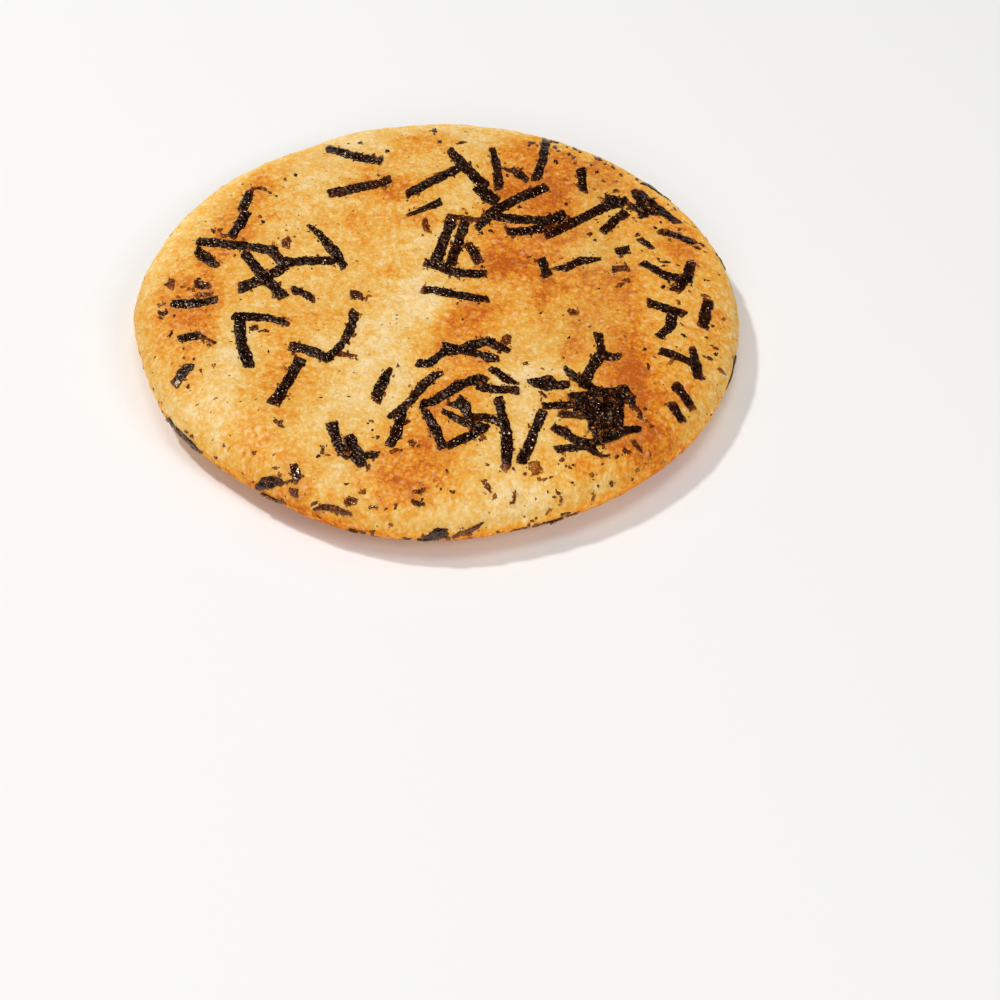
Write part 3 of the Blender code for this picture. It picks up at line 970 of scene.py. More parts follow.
def lay_flake(pile, x, y, long, wide, turn, tone, way="photo", seed=0, thick=0.05):
    """A crumb of nori: a thin, ragged scrap, the larger ones broken up. Sizes in the way's own units, turn in degrees."""
    rs = np.random.RandomState(5000 + seed)
    find, per_mm = WAYS[way]
    big = max(long, wide) / per_mm
    c, s = math.cos(math.radians(turn)), math.sin(math.radians(turn))
    scraps = [(0.0, 0.0, 1.0, 1.0)]
    if big > 0.45:
        for k in range(rs.randint(1, 4)):
            scraps.append((rs.uniform(-0.62, 0.62), rs.uniform(-0.75, 0.75), rs.uniform(0.22, 0.50), rs.uniform(0.25, 0.55)))
    for ox, oy, sl, sw in scraps:
        cx, cy = ox * long, oy * wide
        k = int(np.clip(round(6 + 5 * big * max(sl, sw)), 5, 14))
        ang = (np.arange(k) + rs.uniform(-0.35, 0.35, k)) * 2 * np.pi / k
        rad = rs.uniform(0.62, 1.22, k)
        ax, ay = cx + np.cos(ang) * rad * sl * long / 2, cy + np.sin(ang) * rad * sw * wide / 2
        mid = find(x + cx * c - cy * s, y + cx * s + cy * c)
        if mid is None:
            continue
        over = float(heap_at(mid[0])) if way in ("photo", "above") else 0.0
        rim, low = [], []
        for dx, dy in zip(ax, ay):
            got = find(x + dx * c - dy * s, y + dx * s + dy * c)
            if got is None or np.linalg.norm(got[0] - mid[0]) > 3 * big + 0.5:
                got = mid
            h = over + thick * rs.uniform(0.3, 1.0)
            rim.append(got[0] + got[1] * h)
            low.append(got[0] + got[1] * (over - 0.10))
        here = np.clip(tone + rs.uniform(-0.12, 0.12), 0, 1)
        pile.chip(np.array(rim), mid[0] + mid[1] * (over + thick * rs.uniform(0.5, 1.6)), np.array(low), here)


# Shreds on the face: points, widths, tone (0 black, 1 amber), tones at the two ends. Pixels of the photograph.
STRIPS = (
    # back left
    ([(250, 190), (247, 201), (240, 213)], [9, 10, 10], 0.05, (0.2, None)),
    ([(251, 190), (258, 188), (267, 190)], [4, 3, 2.5], 0.62, (None, 0.8)),
    ([(247, 212), (240, 224), (231, 238)], [11, 11, 9], 0.0, (None, 0.1)),
    ([(197, 242), (218, 243), (240, 246), (277, 251)], [8, 9, 9, 8], 0.02, (0.1, None)),
    ([(196, 251), (206, 258), (218, 267)], [9, 11, 9], 0.05, (None, 0.3)),
    ([(243, 252), (262, 275), (284, 298)], [10, 12, 11], 0.02, (None, None)),
    ([(238, 289), (262, 280), (287, 266)], [10, 10, 9], 0.05, (0.15, None)),
    ([(268, 247), (277, 257), (286, 268)], [10, 11, 11], 0.05, (0.2, None)),
    ([(282, 263), (308, 261), (336, 261)], [9, 9, 8], 0.02, (None, None)),
    ([(326, 149), (340, 152), (360, 158), (382, 162)], [7, 8, 8, 8], 0.06, (0.15, None)),
    ([(328, 194), (355, 189), (378, 184), (391, 179)], [9, 9, 8, 8], 0.10, (None, 0.2)),
    ([(308, 225), (319, 234), (333, 250), (345, 268)], [4, 8, 11, 10], 0.02, (0.5, 0.1)),
    ([(286, 238), (286, 248)], [9, 9], 0.58, (0.75, 0.6)),
    # left
    ([(171, 304), (188, 304), (204, 303), (218, 299)], [8, 9, 9, 6], 0.0, (None, 0.2)),
    ([(178, 339), (190, 337), (202, 335)], [8, 8, 8], 0.05, (0.1, 0.2)),
    ([(202, 337), (209, 340), (215, 343)], [4, 3, 2.5], 0.45, (0.3, 0.6)),
    ([(194, 367), (186, 368), (180, 377), (174, 386)], [7, 10, 10, 10], 0.10, (None, 0.45)),
    ([(194, 284), (202, 286), (211, 286)], [8, 8, 5], 0.15, (0.2, 0.6)),
    ([(172, 279), (170, 289)], [6, 8], 0.48, (0.5, 0.6)),
    ([(158, 312), (163, 315), (168, 311)], [4, 5, 4], 0.22, (0.3, 0.3)),
    ([(195, 297), (205, 294), (213, 294)], [3, 4, 3], 0.50, (0.7, 0.6)),
    # the hook
    ([(232, 316), (250, 317), (268, 318), (283, 322), (289, 325)], [8, 9, 8, 8, 3], 0.02, (0.1, 0.5)),
    ([(240, 314), (240, 335), (243, 349), (250, 368)], [12, 12, 12, 13], 0.0, (0.1, 0.05)),
    ([(250, 329), (258, 327)], [6, 5], 0.35, (0.4, 0.5)),
    # centre left
    ([(291, 289), (300, 292), (309, 296), (315, 302)], [8, 8, 8, 4], 0.06, (0.1, 0.4)),
    ([(350, 295), (363, 296)], [9, 9], 0.16, (0.2, 0.3)),
    ([(289, 346), (304, 349), (318, 354), (331, 361)], [9, 9, 10, 9], 0.02, (0.2, 0.1)),
    ([(336, 353), (345, 355), (357, 356)], [6, 5, 3], 0.50, (0.3, 0.85)),
    ([(355, 310), (352, 325), (346, 338), (338, 349), (326, 359)], [10, 10, 9, 8, 7], 0.04, (0.1, 0.1)),
    ([(301, 358), (293, 373), (283, 389), (273, 405)], [12, 12, 12, 14], 0.03, (0.15, 0.1)),
    ([(391, 368), (385, 378), (380, 388), (375, 402)], [6, 10, 11, 13], 0.02, (0.2, 0.25)),
    # back middle
    ([(406, 195), (430, 182), (462, 167)], [9, 9, 9], 0.04, (None, None)),
    ([(449, 150), (463, 165), (487, 188)], [9, 11, 11], 0.03, (0.15, None)),
    ([(476, 187), (486, 195), (498, 203)], [10, 12, 12], 0.05, (None, None)),
    ([(492, 149), (497, 167), (499, 190)], [8, 9, 10], 0.06, (0.2, 0.2)),
    ([(511, 169), (518, 174), (528, 181)], [6, 8, 7], 0.14, (0.3, 0.2)),
    ([(502, 168), (509, 171)], [3, 3], 0.30, (None, None)),
    ([(546, 140), (543, 160), (535, 181)], [9, 9, 10], 0.04, (None, None)),
    ([(547, 187), (532, 193), (515, 200), (490, 214), (476, 229)], [10, 10, 10, 11, 9], 0.02, (0.1, 0.1)),
    ([(441, 202), (431, 206), (421, 210), (407, 216)], [7, 7, 6, 3], 0.06, (None, 0.35)),
    ([(424, 219), (427, 232)], [6, 6], 0.60, (0.7, 0.55)),
    ([(452, 219), (444, 240), (436, 262)], [11, 12, 12], 0.06, (None, None)),
    ([(465, 222), (458, 244), (450, 266)], [11, 11, 11], 0.06, (None, None)),
    ([(447, 217), (464, 218), (480, 220)], [5, 5, 4], 0.22, (0.3, 0.4)),
    ([(424, 262), (440, 267), (455, 273), (470, 274), (487, 274)], [8, 9, 10, 9, 8], 0.04, (0.15, 0.35)),
    ([(468, 243), (473, 252), (480, 264)], [9, 11, 9], 0.08, (0.2, 0.2)),
    ([(487, 216), (515, 219), (545, 221), (565, 214)], [8, 9, 9, 8], 0.04, (None, 0.1)),
    ([(506, 232), (524, 232), (541, 229), (566, 215)], [7, 9, 9, 9], 0.02, (0.1, 0.1)),
    ([(545, 237), (574, 222), (603, 208), (628, 200)], [8, 9, 9, 9], 0.03, (0.1, None)),
    ([(604, 200), (622, 203)], [12, 12], 0.05, (0.1, None)),
    ([(581, 168), (583, 192)], [10, 10], 0.05, (0.1, 0.1)),
    ([(602, 233), (611, 224), (626, 212)], [9, 10, 9], 0.06, (0.1, None)),
    ([(615, 251), (630, 250)], [7, 9], 0.08, (None, None)),
    ([(541, 258), (544, 266), (548, 277)], [8, 10, 10], 0.06, (0.1, 0.1)),
    ([(551, 269), (565, 268), (580, 261), (601, 259)], [2, 8, 9, 3], 0.04, (0.2, 0.2)),
    ([(612, 270), (622, 268), (630, 270)], [7, 5, 4], 0.38, (0.15, 0.6)),
    ([(543, 229), (555, 226)], [3, 3], 0.45, (None, None)),
    # middle
    ([(421, 290), (434, 290), (450, 294), (470, 297), (489, 300)], [8, 8, 9, 8, 7], 0.02, (0.95, 0.1)),
    ([(463, 351), (478, 354), (490, 358), (499, 359)], [6, 8, 9, 8], 0.05, (None, 0.2)),
    ([(416, 363), (428, 364), (437, 358), (446, 350), (458, 350), (470, 346), (487, 341)], [8, 8, 8, 11, 9, 9, 8], 0.0, (0.1, None)),
    ([(442, 345), (456, 349)], [7, 8], 0.03, (0.1, None)),
    ([(485, 340), (496, 346), (510, 351)], [8, 9, 5], 0.03, (None, 0.1)),
    ([(501, 340), (511, 340)], [9, 9], 0.50, (0.6, 0.5)),
    ([(490, 368), (499, 374), (508, 380), (518, 384)], [7, 10, 8, 2.5], 0.04, (0.15, 0.1)),
    # the house-shaped group
    ([(443, 373), (432, 377), (422, 387), (415, 396), (408, 403), (400, 410), (388, 418)], [5, 9, 10, 9, 8, 9, 5], 0.03, (0.2, 0.1)),
    ([(402, 410), (400, 422), (397, 433), (388, 447)], [9, 11, 12, 9], 0.03, (None, 0.1)),
    ([(420, 405), (432, 402), (444, 395), (456, 387), (468, 382), (479, 379), (488, 381)], [8, 9, 10, 11, 10, 11, 7], 0.02, (0.1, 0.1)),
    ([(476, 386), (490, 389), (503, 390), (519, 391)], [8, 8, 8, 8], 0.04, (None, 0.1)),
    ([(424, 409), (431, 421), (437, 433), (443, 449)], [8, 11, 11, 10], 0.03, (0.1, None)),
    ([(446, 447), (460, 440), (472, 435), (486, 428)], [8, 11, 9, 8], 0.03, (None, 0.1)),
    ([(480, 437), (486, 437)], [7, 5], 0.80, (None, 0.9)),
    ([(442, 411), (452, 416), (463, 422), (475, 427), (489, 428)], [5, 8, 9, 9, 8], 0.05, (0.2, None)),
    ([(447, 404), (458, 405), (470, 407)], [4, 8, 8], 0.07, (0.2, None)),
    ([(458, 398), (465, 407), (469, 419)], [8, 12, 9], 0.0, (0.1, None)),
    ([(470, 418), (482, 417), (492, 419), (503, 424)], [9, 8, 8, 8], 0.08, (None, None)),
    ([(498, 398), (501, 412), (504, 423), (507, 435), (507, 450), (506, 468)], [12, 10, 11, 13, 12, 11], 0.02, (0.1, 0.35)),
    ([(504, 467), (504, 472)], [8, 6], 0.75, (None, 0.9)),
    ([(543, 411), (536, 428), (529, 445), (521, 464)], [11, 11, 12, 12], 0.03, (0.1, 0.1)),
    # right
    ([(527, 381), (537, 383), (548, 383), (557, 386), (570, 384)], [4, 11, 16, 9, 8], 0.04, (0.1, 0.1)),
    ([(540, 391), (546, 398)], [3, 3], 0.30, (None, None)),
    ([(564, 368), (572, 375), (581, 381)], [5, 8, 8], 0.06, (0.2, None)),
    ([(598, 333), (600, 344), (602, 356)], [11, 9, 9], 0.04, (0.1, None)),
    ([(600, 356), (592, 367), (586, 378), (582, 388)], [12, 12, 12, 10], 0.06, (0.1, None)),
    ([(603, 356), (612, 358), (621, 357)], [7, 8, 7], 0.05, (None, 0.4)),
    ([(580, 384), (592, 388), (603, 392)], [8, 7, 7], 0.05, (None, None)),
    ([(542, 406), (556, 406), (570, 405), (584, 403)], [7, 7, 8, 8], 0.05, (0.1, None)),
    ([(558, 414), (570, 415), (584, 416)], [7, 7, 8], 0.18, (0.3, None)),
    ([(569, 399), (585, 397), (602, 400), (620, 402)], [10, 12, 12, 12], 0.02, (0.1, None)),
    ([(573, 409), (588, 411), (603, 410), (618, 408)], [8, 12, 12, 10], 0.03, (None, None)),
    ([(582, 400), (589, 414), (596, 427), (601, 440)], [9, 12, 11, 9], 0.0, (0.1, None)),
    ([(596, 402), (603, 417), (606, 430), (606, 440)], [9, 13, 12, 10], 0.03, (0.1, None)),
    ([(598, 395), (612, 393), (628, 389)], [9, 11, 10], 0.06, (None, 0.1)),
    ([(578, 396), (584, 408), (590, 420)], [9, 11, 9], 0.02, (None, None)),
    ([(600, 440), (612, 436), (622, 432)], [10, 11, 9], 0.02, (None, None)),
    ([(590, 425), (598, 434), (600, 444)], [9, 10, 8], 0.03, (None, None)),
    ([(624, 389), (631, 399), (634, 410)], [9, 10, 6], 0.12, (0.1, 0.45)),
    ([(620, 394), (618, 412), (616, 434)], [11, 13, 12], 0.0, (0.1, None)),
    ([(552, 427), (565, 433), (577, 441), (591, 443)], [9, 10, 9, 8], 0.03, (0.1, None)),
    ([(555, 450), (570, 448), (585, 446), (600, 441), (615, 435), (628, 430), (641, 429)], [8, 8, 8, 9, 10, 9, 6], 0.03, (0.1, 0.1)),
    ([(588, 446), (596, 453), (602, 457)], [9, 6, 3], 0.12, (None, 0.3)),
    ([(601, 457), (610, 455)], [2.5, 2.5], 0.35, (None, None)),
    ([(632, 440), (637, 446), (642, 453)], [7, 5, 2], 0.45, (0.5, 0.5)),
    ([(634, 407), (640, 413), (641, 420)], [4, 5, 4], 0.30, (0.5, 0.4)),
    # front left
    ([(332, 423), (335, 437), (340, 448), (349, 458)], [12, 11, 11, 10], 0.03, (0.1, None)),
    ([(349, 436), (352, 447), (358, 457), (363, 467)], [12, 14, 16, 11], 0.02, (0.1, 0.15)),
    ([(363, 457), (371, 455), (379, 455)], [8, 8, 9], 0.06, (None, 0.15)),
    ([(323, 446), (322, 454)], [3.5, 4], 0.50, (0.6, 0.5)),
    ([(293, 464), (296, 473), (299, 481)], [8, 10, 11], 0.10, (0.2, 0.35)),
    ([(294, 488), (294, 497)], [9, 9], 0.38, (0.4, 0.5)),
    ([(258, 489), (265, 483), (274, 481), (284, 483)], [8, 14, 11, 4], 0.10, (0.2, 0.4)),
    ([(261, 494), (268, 500), (275, 506)], [5, 5, 3], 0.20, (None, 0.4)),
    ([(270, 499), (280, 501), (287, 504)], [3, 3, 2.5], 0.40, (0.2, 0.7)),
    ([(284, 483), (293, 480)], [2, 2], 0.40, (None, None)),
    ([(168, 418), (173, 428), (183, 438), (192, 447), (200, 454)], [5, 6, 7, 8, 4], 0.10, (0.2, 0.2)),
    ([(274, 420), (279, 424), (284, 428)], [5, 5, 3], 0.50, (0.5, 0.6)),
    ([(313, 510), (323, 507), (333, 508), (343, 512), (352, 514)], [3, 7, 7, 6, 4], 0.40, (0.6, 0.45)),
    ([(344, 502), (350, 501), (357, 502)], [7, 9, 6], 0.36, (0.5, 0.8)),
    ([(370, 506), (378, 508)], [3, 3], 0.40, (None, None)),
    ([(411, 501), (418, 504), (425, 504)], [4, 6, 3], 0.25, (0.3, 0.5)),
    ([(413, 492), (420, 492), (425, 489)], [2.5, 4.5, 3], 0.50, (0.6, 0.5)),
    ([(417, 544), (427, 540), (436, 535), (448, 531)], [5, 9, 12, 8], 0.08, (0.2, 0.1)),
    ([(452, 537), (460, 534), (468, 531), (476, 527), (484, 522)], [3.5, 4, 4, 5, 2], 0.52, (0.4, 0.7)),
    ([(486, 483), (488, 487), (491, 493)], [4, 5, 3.5], 0.40, (0.7, 0.45)),
    ([(514, 491), (514, 503)], [4, 3], 0.48, (0.6, 0.45)),
    ([(552, 526), (560, 526), (567, 527)], [4, 9, 4], 0.12, (0.2, 0.2)),
    ([(611, 481), (612, 487)], [4, 4], 0.30, (None, None)),
    ([(568, 313), (579, 313)], [5, 4], 0.52, (0.45, 0.65)),
)



def darker(tone):
    return tone if tone is None or tone < 0.2 else 0.2 + 0.42 * (tone - 0.2)


nori = nori_material()
strips = Pile()
for number, (line, width, tone, tips) in enumerate(STRIPS):
    rs = np.random.RandomState(300 + number)
    long_enough = len(line) > 2 and max(width) >= 7
    tone, tips = darker(tone), (darker(tips[0]), darker(tips[1]))
    curl = tuple(rs.choice([0.0, 0.0, 0.08, 0.16], 2)) if long_enough else (0.0, 0.0)
    lay_strip(strips, line, width, tone, tips, "photo", number, 0.13 if max(width) > 5 else 0.08, curl, 1.0)
# a narrow shred on edge in the thick of the heap
lay_strip(strips, [(609, 404), (610, 416), (611, 428)], [4, 5, 4], 0.0, (None, None), "photo", 777, 0.12, (0.0, 0.0), 0.6, 0.0, -0.20)

# Shreds where the photograph doesn't reach: the right of the face, the rim at the back and right, and a few below.
# Points in millimetres from above or below, or along the rim and up it.
HIDDEN = (
    ("above", [(28.8, 20.6), (31.6, 19.4), (34.0, 19.6)], [1.7, 1.9, 1.6]),
    ("above", [(30.2, 25.0), (30.9, 21.6), (31.2, 17.8)], [1.6, 1.8, 1.5]),
    ("above", [(30.6, 24.2), (36.3, 17.2)], [1.9, 1.7]),
    ("above", [(33.2, 14.8), (38.6, 12.4)], [1.5, 1.7]),
    ("above", [(30.2, 6.8), (33.8, 3.6), (37.4, 3.0)], [1.6, 1.9, 1.5]),
    ("above", [(37.6, 7.4), (36.8, 3.8), (34.6, 0.4)], [1.4, 1.8, 1.7]),
    ("above", [(39.6, -0.6), (38.2, -6.9)], [1.7, 1.8]),
    ("above", [(30.4, -2.2), (35.9, -4.6)], [1.9, 1.5]),
    ("above", [(34.0, -3.6), (33.6, -7.0), (31.6, -9.6)], [1.6, 1.7, 1.4]),
    ("above", [(31.6, -12.4), (37.0, -14.8)], [1.8, 1.6]),
    ("above", [(36.4, -11.2), (36.9, -17.2)], [1.3, 1.7]),
    ("above", [(32.4, -22.6), (34.2, -25.4)], [1.7, 1.3]),
    ("above", [(33.2, -19.0), (35.8, -22.8)], [1.9, 1.6]),
    ("above", [(30.2, 12.8), (32.0, 10.2)], [1.3, 1.1]),
    ("side", [(10.0, 5.6), (15.0, 4.2)], [1.5, 1.4]),
    ("side", [(27.0, 5.6), (32.0, 6.9)], [1.6, 1.6]),
    ("side", [(66.0, 5.0), (69.5, 3.2)], [1.4, 1.5]),
    ("side", [(97.0, 3.9), (103.0, 2.8)], [1.6, 1.3]),
    ("side", [(121.0, 2.4), (124.0, 3.9)], [1.4, 1.3]),
    ("side", [(262.0, 3.6), (268.0, 4.6)], [1.5, 1.4]),
    ("below", [(-12.0, 16.0), (-6.0, 19.5)], [1.7, 1.8]),
    ("below", [(20.0, -9.0), (17.0, -15.5)], [1.8, 1.6]),
    ("below", [(-26.0, -7.0), (-22.0, -12.0)], [1.6, 1.7]),
    ("below", [(8.0, 27.0), (13.5, 29.0)], [1.7, 1.5]),
)
for number, (way, line, width) in enumerate(HIDDEN):
    rs = np.random.RandomState(700 + number)
    flat = way == "below"
    lay_strip(strips, line, width, 0.06, (rs.choice([None, 0.2, 0.4]), rs.choice([None, 0.15, 0.3])), way, 400 + number, 0.03 if flat else 0.13)

strips_obj = strips.build("nori_strips", nori)
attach(strips_obj, "root")

# Crumbs: pixel x, y, length, width, turn, tone
FLAKES = (
    (270, 193, 4, 3, 20, 0.60), (276, 196, 3, 2.5, 0, 0.55), (213, 231, 6, 4, 30, 0.60), (220, 230, 7, 4, -20, 0.55), (224, 236, 8, 4, 10, 0.55),
    (296, 175, 4, 3, 0, 0.35), (285, 179, 3, 2.5, 0, 0.45), (360, 143, 5, 2.5, -20, 0.35), (388, 151, 4, 3, 0, 0.25), (260, 217, 4, 3, 0, 0.50),
    (263, 222, 4, 3, 20, 0.35), (434, 131, 6, 4, 10, 0.25), (440, 142, 5, 3, 0, 0.35), (461, 143, 13, 2.5, -12, 0.45), (555, 147, 5, 4, 0, 0.30),
    (556, 162, 6, 4, 30, 0.35), (590, 234, 5, 3, 0, 0.45), (532, 143, 8, 4, 0, 0.55), (159, 305, 5, 4, 40, 0.60), (164, 304, 4, 3, 0, 0.65),
    (174, 316, 3, 3, 0, 0.45), (171, 334, 7, 3, -60, 0.45), (265, 331, 8, 2.5, 14, 0.50), (182, 287, 5, 3, 10, 0.65), (189, 289, 4, 3, 0, 0.70),
    (199, 279, 5, 3, -10, 0.55), (178, 297, 4, 3, 0, 0.70), (188, 387, 4, 4, 0, 0.55), (201, 371, 3, 5, 0, 0.75), (214, 365, 4, 4, 0, 0.80),
    (184, 358, 4, 3, 0, 0.60), (194, 359, 3, 3, 0, 0.55), (209, 345, 4, 3, 0, 0.60), (215, 343, 3, 3, 0, 0.45), (366, 299, 3, 6, 10, 0.80),
    (369, 296, 4, 3, 0, 0.75), (398, 366, 3, 3, 0, 0.40), (518, 384, 3, 2.5, 0, 0.40), (526, 363, 6, 3, -25, 0.40), (541, 313, 3, 2, 0, 0.50),
    (504, 403, 3, 3, 0, 0.3), (394, 451, 12, 4, -14, 0.55), (412, 443, 8, 7, 20, 0.72), (418, 446, 4, 3, 0, 0.60), (368, 468, 5, 5, 0, 0.62),
    (318, 456, 4, 4, 0, 0.20), (328, 455, 7, 2, 4, 0.50), (371, 421, 6, 3, 0, 0.62), (378, 437, 4, 3, 0, 0.45), (372, 430, 3, 2.5, 0, 0.60),
    (254, 453, 4, 4, 40, 0.42), (275, 468, 6, 3, 10, 0.65), (192, 436, 4, 3, 0, 0.50), (187, 432, 4, 3, 20, 0.60), (224, 446, 4, 3, 0, 0.60),
    (216, 458, 3, 3, 0, 0.50), (396, 506, 2.5, 6, 8, 0.45), (362, 492, 7, 6, 0, 0.80), (347, 484, 5, 2.5, 0, 0.62), (353, 531, 8, 4, 30, 0.25),
    (362, 536, 7, 4, 30, 0.30), (374, 531, 3, 2.5, 0, 0.50), (372, 534, 3, 2.5, 0, 0.55), (406, 543, 9, 2, 0, 0.35), (484, 481, 6, 4, -20, 0.72),
    (495, 496, 4, 6, 0, 0.85), (452, 492, 6, 3, 10, 0.75), (441, 489, 3, 3, 0, 0.50), (447, 471, 3, 4, 0, 0.50), (487, 465, 4, 2.5, 0, 0.70),
    (558, 493, 6, 3, 30, 0.60), (554, 497, 5, 2.5, 0, 0.55), (561, 500, 3, 6, 10, 0.65), (563, 514, 6, 2.5, -15, 0.40), (568, 513, 6, 2.5, -10, 0.42),
    (572, 518, 7, 3, -20, 0.32), (577, 515, 6, 2.5, -30, 0.35), (532, 521, 4, 3, 0, 0.50), (529, 525, 4, 3, -60, 0.45), (536, 518, 3, 2.5, 0, 0.60),
    (538, 527, 10, 2.5, -6, 0.35), (546, 525, 9, 3, -12, 0.25), (519, 531, 11, 3, -4, 0.45), (526, 530, 4, 3, 0, 0.25), (562, 460, 6, 5, 0, 0.80),
    (566, 466, 3, 2.5, 0, 0.45), (570, 468, 4, 3, 0, 0.40), (573, 465, 3, 2.5, 0, 0.45), (592, 475, 6, 5, 20, 0.70), (598, 486, 3, 2.5, 0, 0.50),
    (617, 457, 4, 4, 0, 0.30), (625, 451, 5, 6, 0, 0.38), (629, 452, 5, 4, 0, 0.50), (593, 499, 3, 11, 18, 0.75), (645, 409, 5, 3, 0, 0.45),
    (652, 426, 5, 3, 20, 0.55), (646, 421, 4, 3, 0, 0.55), (648, 366, 3, 8, -15, 0.35), (620, 285, 9, 4, -25, 0.60), (627, 281, 7, 4, 0, 0.60),
    (545, 479, 6, 3, -20, 0.60), (534, 474, 5, 3, 0, 0.62), (525, 474, 4, 3, 0, 0.55), (551, 477, 5, 2, -10, 0.60), (513, 170, 3, 3, 0, 0.3),
    (569, 154, 4, 3, 0, 0.50), (575, 163, 4, 3, 0, 0.60), (597, 172, 4, 3, 0, 0.45), (603, 181, 4, 3, 0, 0.55), (482, 267, 4, 3, 0, 0.2),
    (545, 139, 4, 2.5, 10, 0.25), (551, 141, 3, 2, 15, 0.30), (556, 142, 8, 2.5, 14, 0.45), (567, 147, 3, 2, 20, 0.30), (575, 149, 6, 2.5, 32, 0.35),
    (580, 152, 3, 2, 10, 0.25), (598, 159, 9, 3, 22, 0.40), (605, 164, 3, 2.5, 0, 0.30), (558, 151, 4, 2.5, 0, 0.50), (573, 158, 4, 3, 0, 0.55),
    (591, 165, 3, 2.5, 0, 0.50), (613, 167, 5, 3, 40, 0.35), (566, 204, 4, 3, 0, 0.50), (595, 240, 4, 2.5, 0, 0.50), (481, 233, 5, 3, 10, 0.2), (491, 231, 5, 3, 10, 0.35),
)
crumbs = Pile()
for number, (x, y, long, wide, turn, tone) in enumerate(FLAKES):
    lay_flake(crumbs, x, y, long * 1.1, wide * 1.1, turn, tone * 0.68, "photo", number)
# the soft brown blister of nori beside the two long shreds
lay_flake(crumbs, 535, 467, 18, 14, 35, 0.72, "photo", 900, 0.10)

rs = np.random.RandomState(91)
for number, (line, width, tone, tips) in enumerate(STRIPS):
    # bits frayed off beside each shred and past its ends
    line, width = np.array(line, float), float(np.mean(width))
    span = np.linalg.norm(np.diff(line, axis=0), axis=1).sum()
    for k in range(int(2 + span / 9)):
        leg = rs.randint(len(line) - 1)
        a, b = line[leg], line[leg + 1]
        d = (b - a) / max(np.linalg.norm(b - a), 1e-6)
        at = a + (b - a) * rs.uniform(-0.08, 1.08) + np.array([-d[1], d[0]]) * rs.choice([-1, 1]) * (0.5 * width + rs.gamma(1.5, 0.9))
        size = rs.gamma(2.0, 0.55) + 0.8
        lay_flake(crumbs, at[0], at[1], size * rs.uniform(1, 2.0), size, rs.uniform(0, 180), rs.uniform(0.20, 0.65), "photo", 6000 + 20 * number + k, 0.035)

rs = np.random.RandomState(44)
for number in range(250):
    # fine crumbs all over the face and rim, most of them thin and brown
    b, r = rs.uniform(0, 2 * np.pi), 43.2 * math.sqrt(rs.uniform(0, 1))
    size = min(rs.gamma(2.0, 0.085) + 0.10, 0.36)
    lay_flake(crumbs, r * math.cos(b), r * math.sin(b), size * rs.uniform(1, 2.2), size, rs.uniform(0, 360), rs.choice([0.1, 0.35, 0.45, 0.55, 0.65, 0.75]), "above", 1000 + number, 0.035)
for number in range(70):
    # larger crumbs where the photograph doesn't reach
    b, r = rs.uniform(-0.45, 0.80), 43.0 * math.sqrt(rs.uniform(0.55, 1))
    size = min(rs.gamma(2.0, 0.16) + 0.22, 0.7)
    lay_flake(crumbs, r * math.cos(b), r * math.sin(b), size * rs.uniform(1, 2.4), size, rs.uniform(0, 360), rs.choice([0.1, 0.3, 0.45, 0.6]), "above", 2000 + number)
for number in range(150):
    # on the rim, all round
    size = min(rs.gamma(2.0, 0.11) + 0.13, 0.5)
    lay_flake(crumbs, rs.uniform(0, 2 * np.pi * RADIUS), rs.uniform(1.6, 6.2), size * rs.uniform(1, 2.4), size, rs.normal(0, 30), rs.choice([0.2, 0.4, 0.5, 0.65]), "side", 3000 + number, 0.07)
for number in range(110):
    # underneath
    b, r = rs.uniform(0, 2 * np.pi), 40.0 * math.sqrt(rs.uniform(0, 1))
    size = rs.gamma(2.0, 0.11) + 0.14
    lay_flake(crumbs, r * math.cos(b), r * math.sin(b), size * rs.uniform(1, 2.4), size, rs.uniform(0, 360), rs.choice([0.2, 0.4, 0.55, 0.7]), "below", 4000 + number, 0.02)
# the crust right beside the nori is darker: partly stained by the seasoned nori, partly painted contact shade
stain_from = np.concatenate(strips.v[0::2])[::3].tolist()
tree = KDTree(len(stain_from))
for k, at in enumerate(stain_from):
    tree.insert(at, k)
tree.balance()
on_top = np.nonzero(place < 2.3)[0]
gap = np.full(len(verts), 9.0)
gap[on_top] = [tree.find(at)[2] for at in shaped[on_top].tolist()]
stain_and_painted_contact_shade = 0.30 * np.exp(-(np.maximum(gap - 0.15, 0) / 0.55)) * (0.7 + 0.6 * noise(verts / 0.9, 241))
body.data.attributes["painted_shade_and_stain"].data.foreach_set("value", np.clip(painted_shade_and_stain + stain_and_painted_contact_shade, 0.0, 0.6).astype(np.float32))

crumbs_obj = crumbs.build("nori_crumbs", nori)
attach(crumbs_obj, "root")

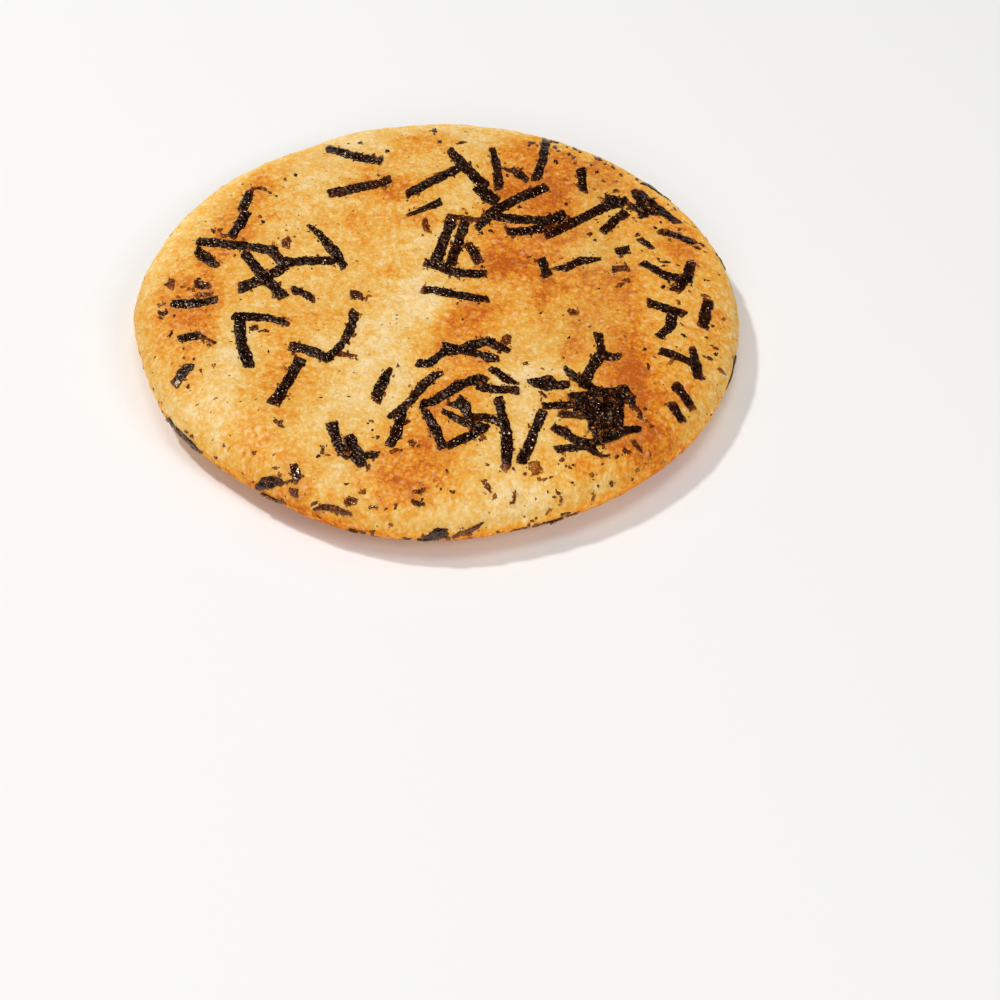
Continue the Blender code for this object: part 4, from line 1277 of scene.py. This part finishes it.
# Nothing reaches below the surface that the cracker lies on
for obj in (strips_obj, crumbs_obj):
    co = np.empty(len(obj.data.vertices) * 3, np.float32)
    obj.data.vertices.foreach_get("co", co)
    co = co.reshape(-1, 3)
    co[:, 2] = np.maximum(co[:, 2], 0.0)
    obj.data.vertices.foreach_set("co", co.ravel())
    obj.data.update()

# =====================================================================================================
# Floor, light and view.
# =====================================================================================================


def make_floor():
    size, n = 3.0, 1
    mesh = bpy.data.meshes.new("floor")
    mesh.from_pydata([(-size, -size, 0), (size, -size, 0), (size, size, 0), (-size, size, 0)], [], [(0, 1, 2, 3)])
    obj = bpy.data.objects.new("floor", mesh)
    bpy.context.scene.collection.objects.link(obj)
    m = Net("floor_paint")
    m.shader.inputs["Base Color"].default_value = (0.88, 0.875, 0.865, 1.0)
    m.shader.inputs["Roughness"].default_value = 0.7
    m.shader.inputs["Specular IOR Level"].default_value = 0.2
    mesh.materials.append(m.material)


def make_light(name, at, size, power, glare=False, colour=(1, 1, 1)):
    data = bpy.data.lights.new(name, "AREA")
    data.shape = "DISK"
    data.size = size
    data.energy = power
    data.color = colour
    obj = bpy.data.objects.new(name, data)
    bpy.context.scene.collection.objects.link(obj)
    obj.location = at
    obj.visible_glossy = glare
    obj.rotation_euler = (Vector((0, 0, 0.005)) - Vector(at)).to_track_quat("-Z", "Y").to_euler()


make_floor()
make_light("key", (-0.40, 0.22, 0.70), 0.08, 3.2, True)
make_light("overhead", (0.05, 0.0, 1.10), 0.44, 2.3)
make_light("fill", (0.60, -0.50, 0.65), 0.40, 1.9)
make_light("front", (-0.15, -0.80, 0.45), 0.40, 2.1)

world = bpy.data.worlds.new("studio")
world.use_nodes = True
background = world.node_tree.nodes["Background"]
background.inputs["Color"].default_value = (1.0, 0.995, 0.985, 1.0)
background.inputs["Strength"].default_value = 0.27
bpy.context.scene.world = world
world.cycles_visibility.glossy = False

scene = bpy.context.scene
scene.view_settings.view_transform = "Standard"
scene.view_settings.look = "None"
scene.view_settings.exposure = 0.0
scene.view_settings.gamma = 1.0

print("TRIANGLES", {o.name: sum(len(q.vertices) - 2 for q in o.data.polygons) for o in (body, strips_obj, crumbs_obj)})
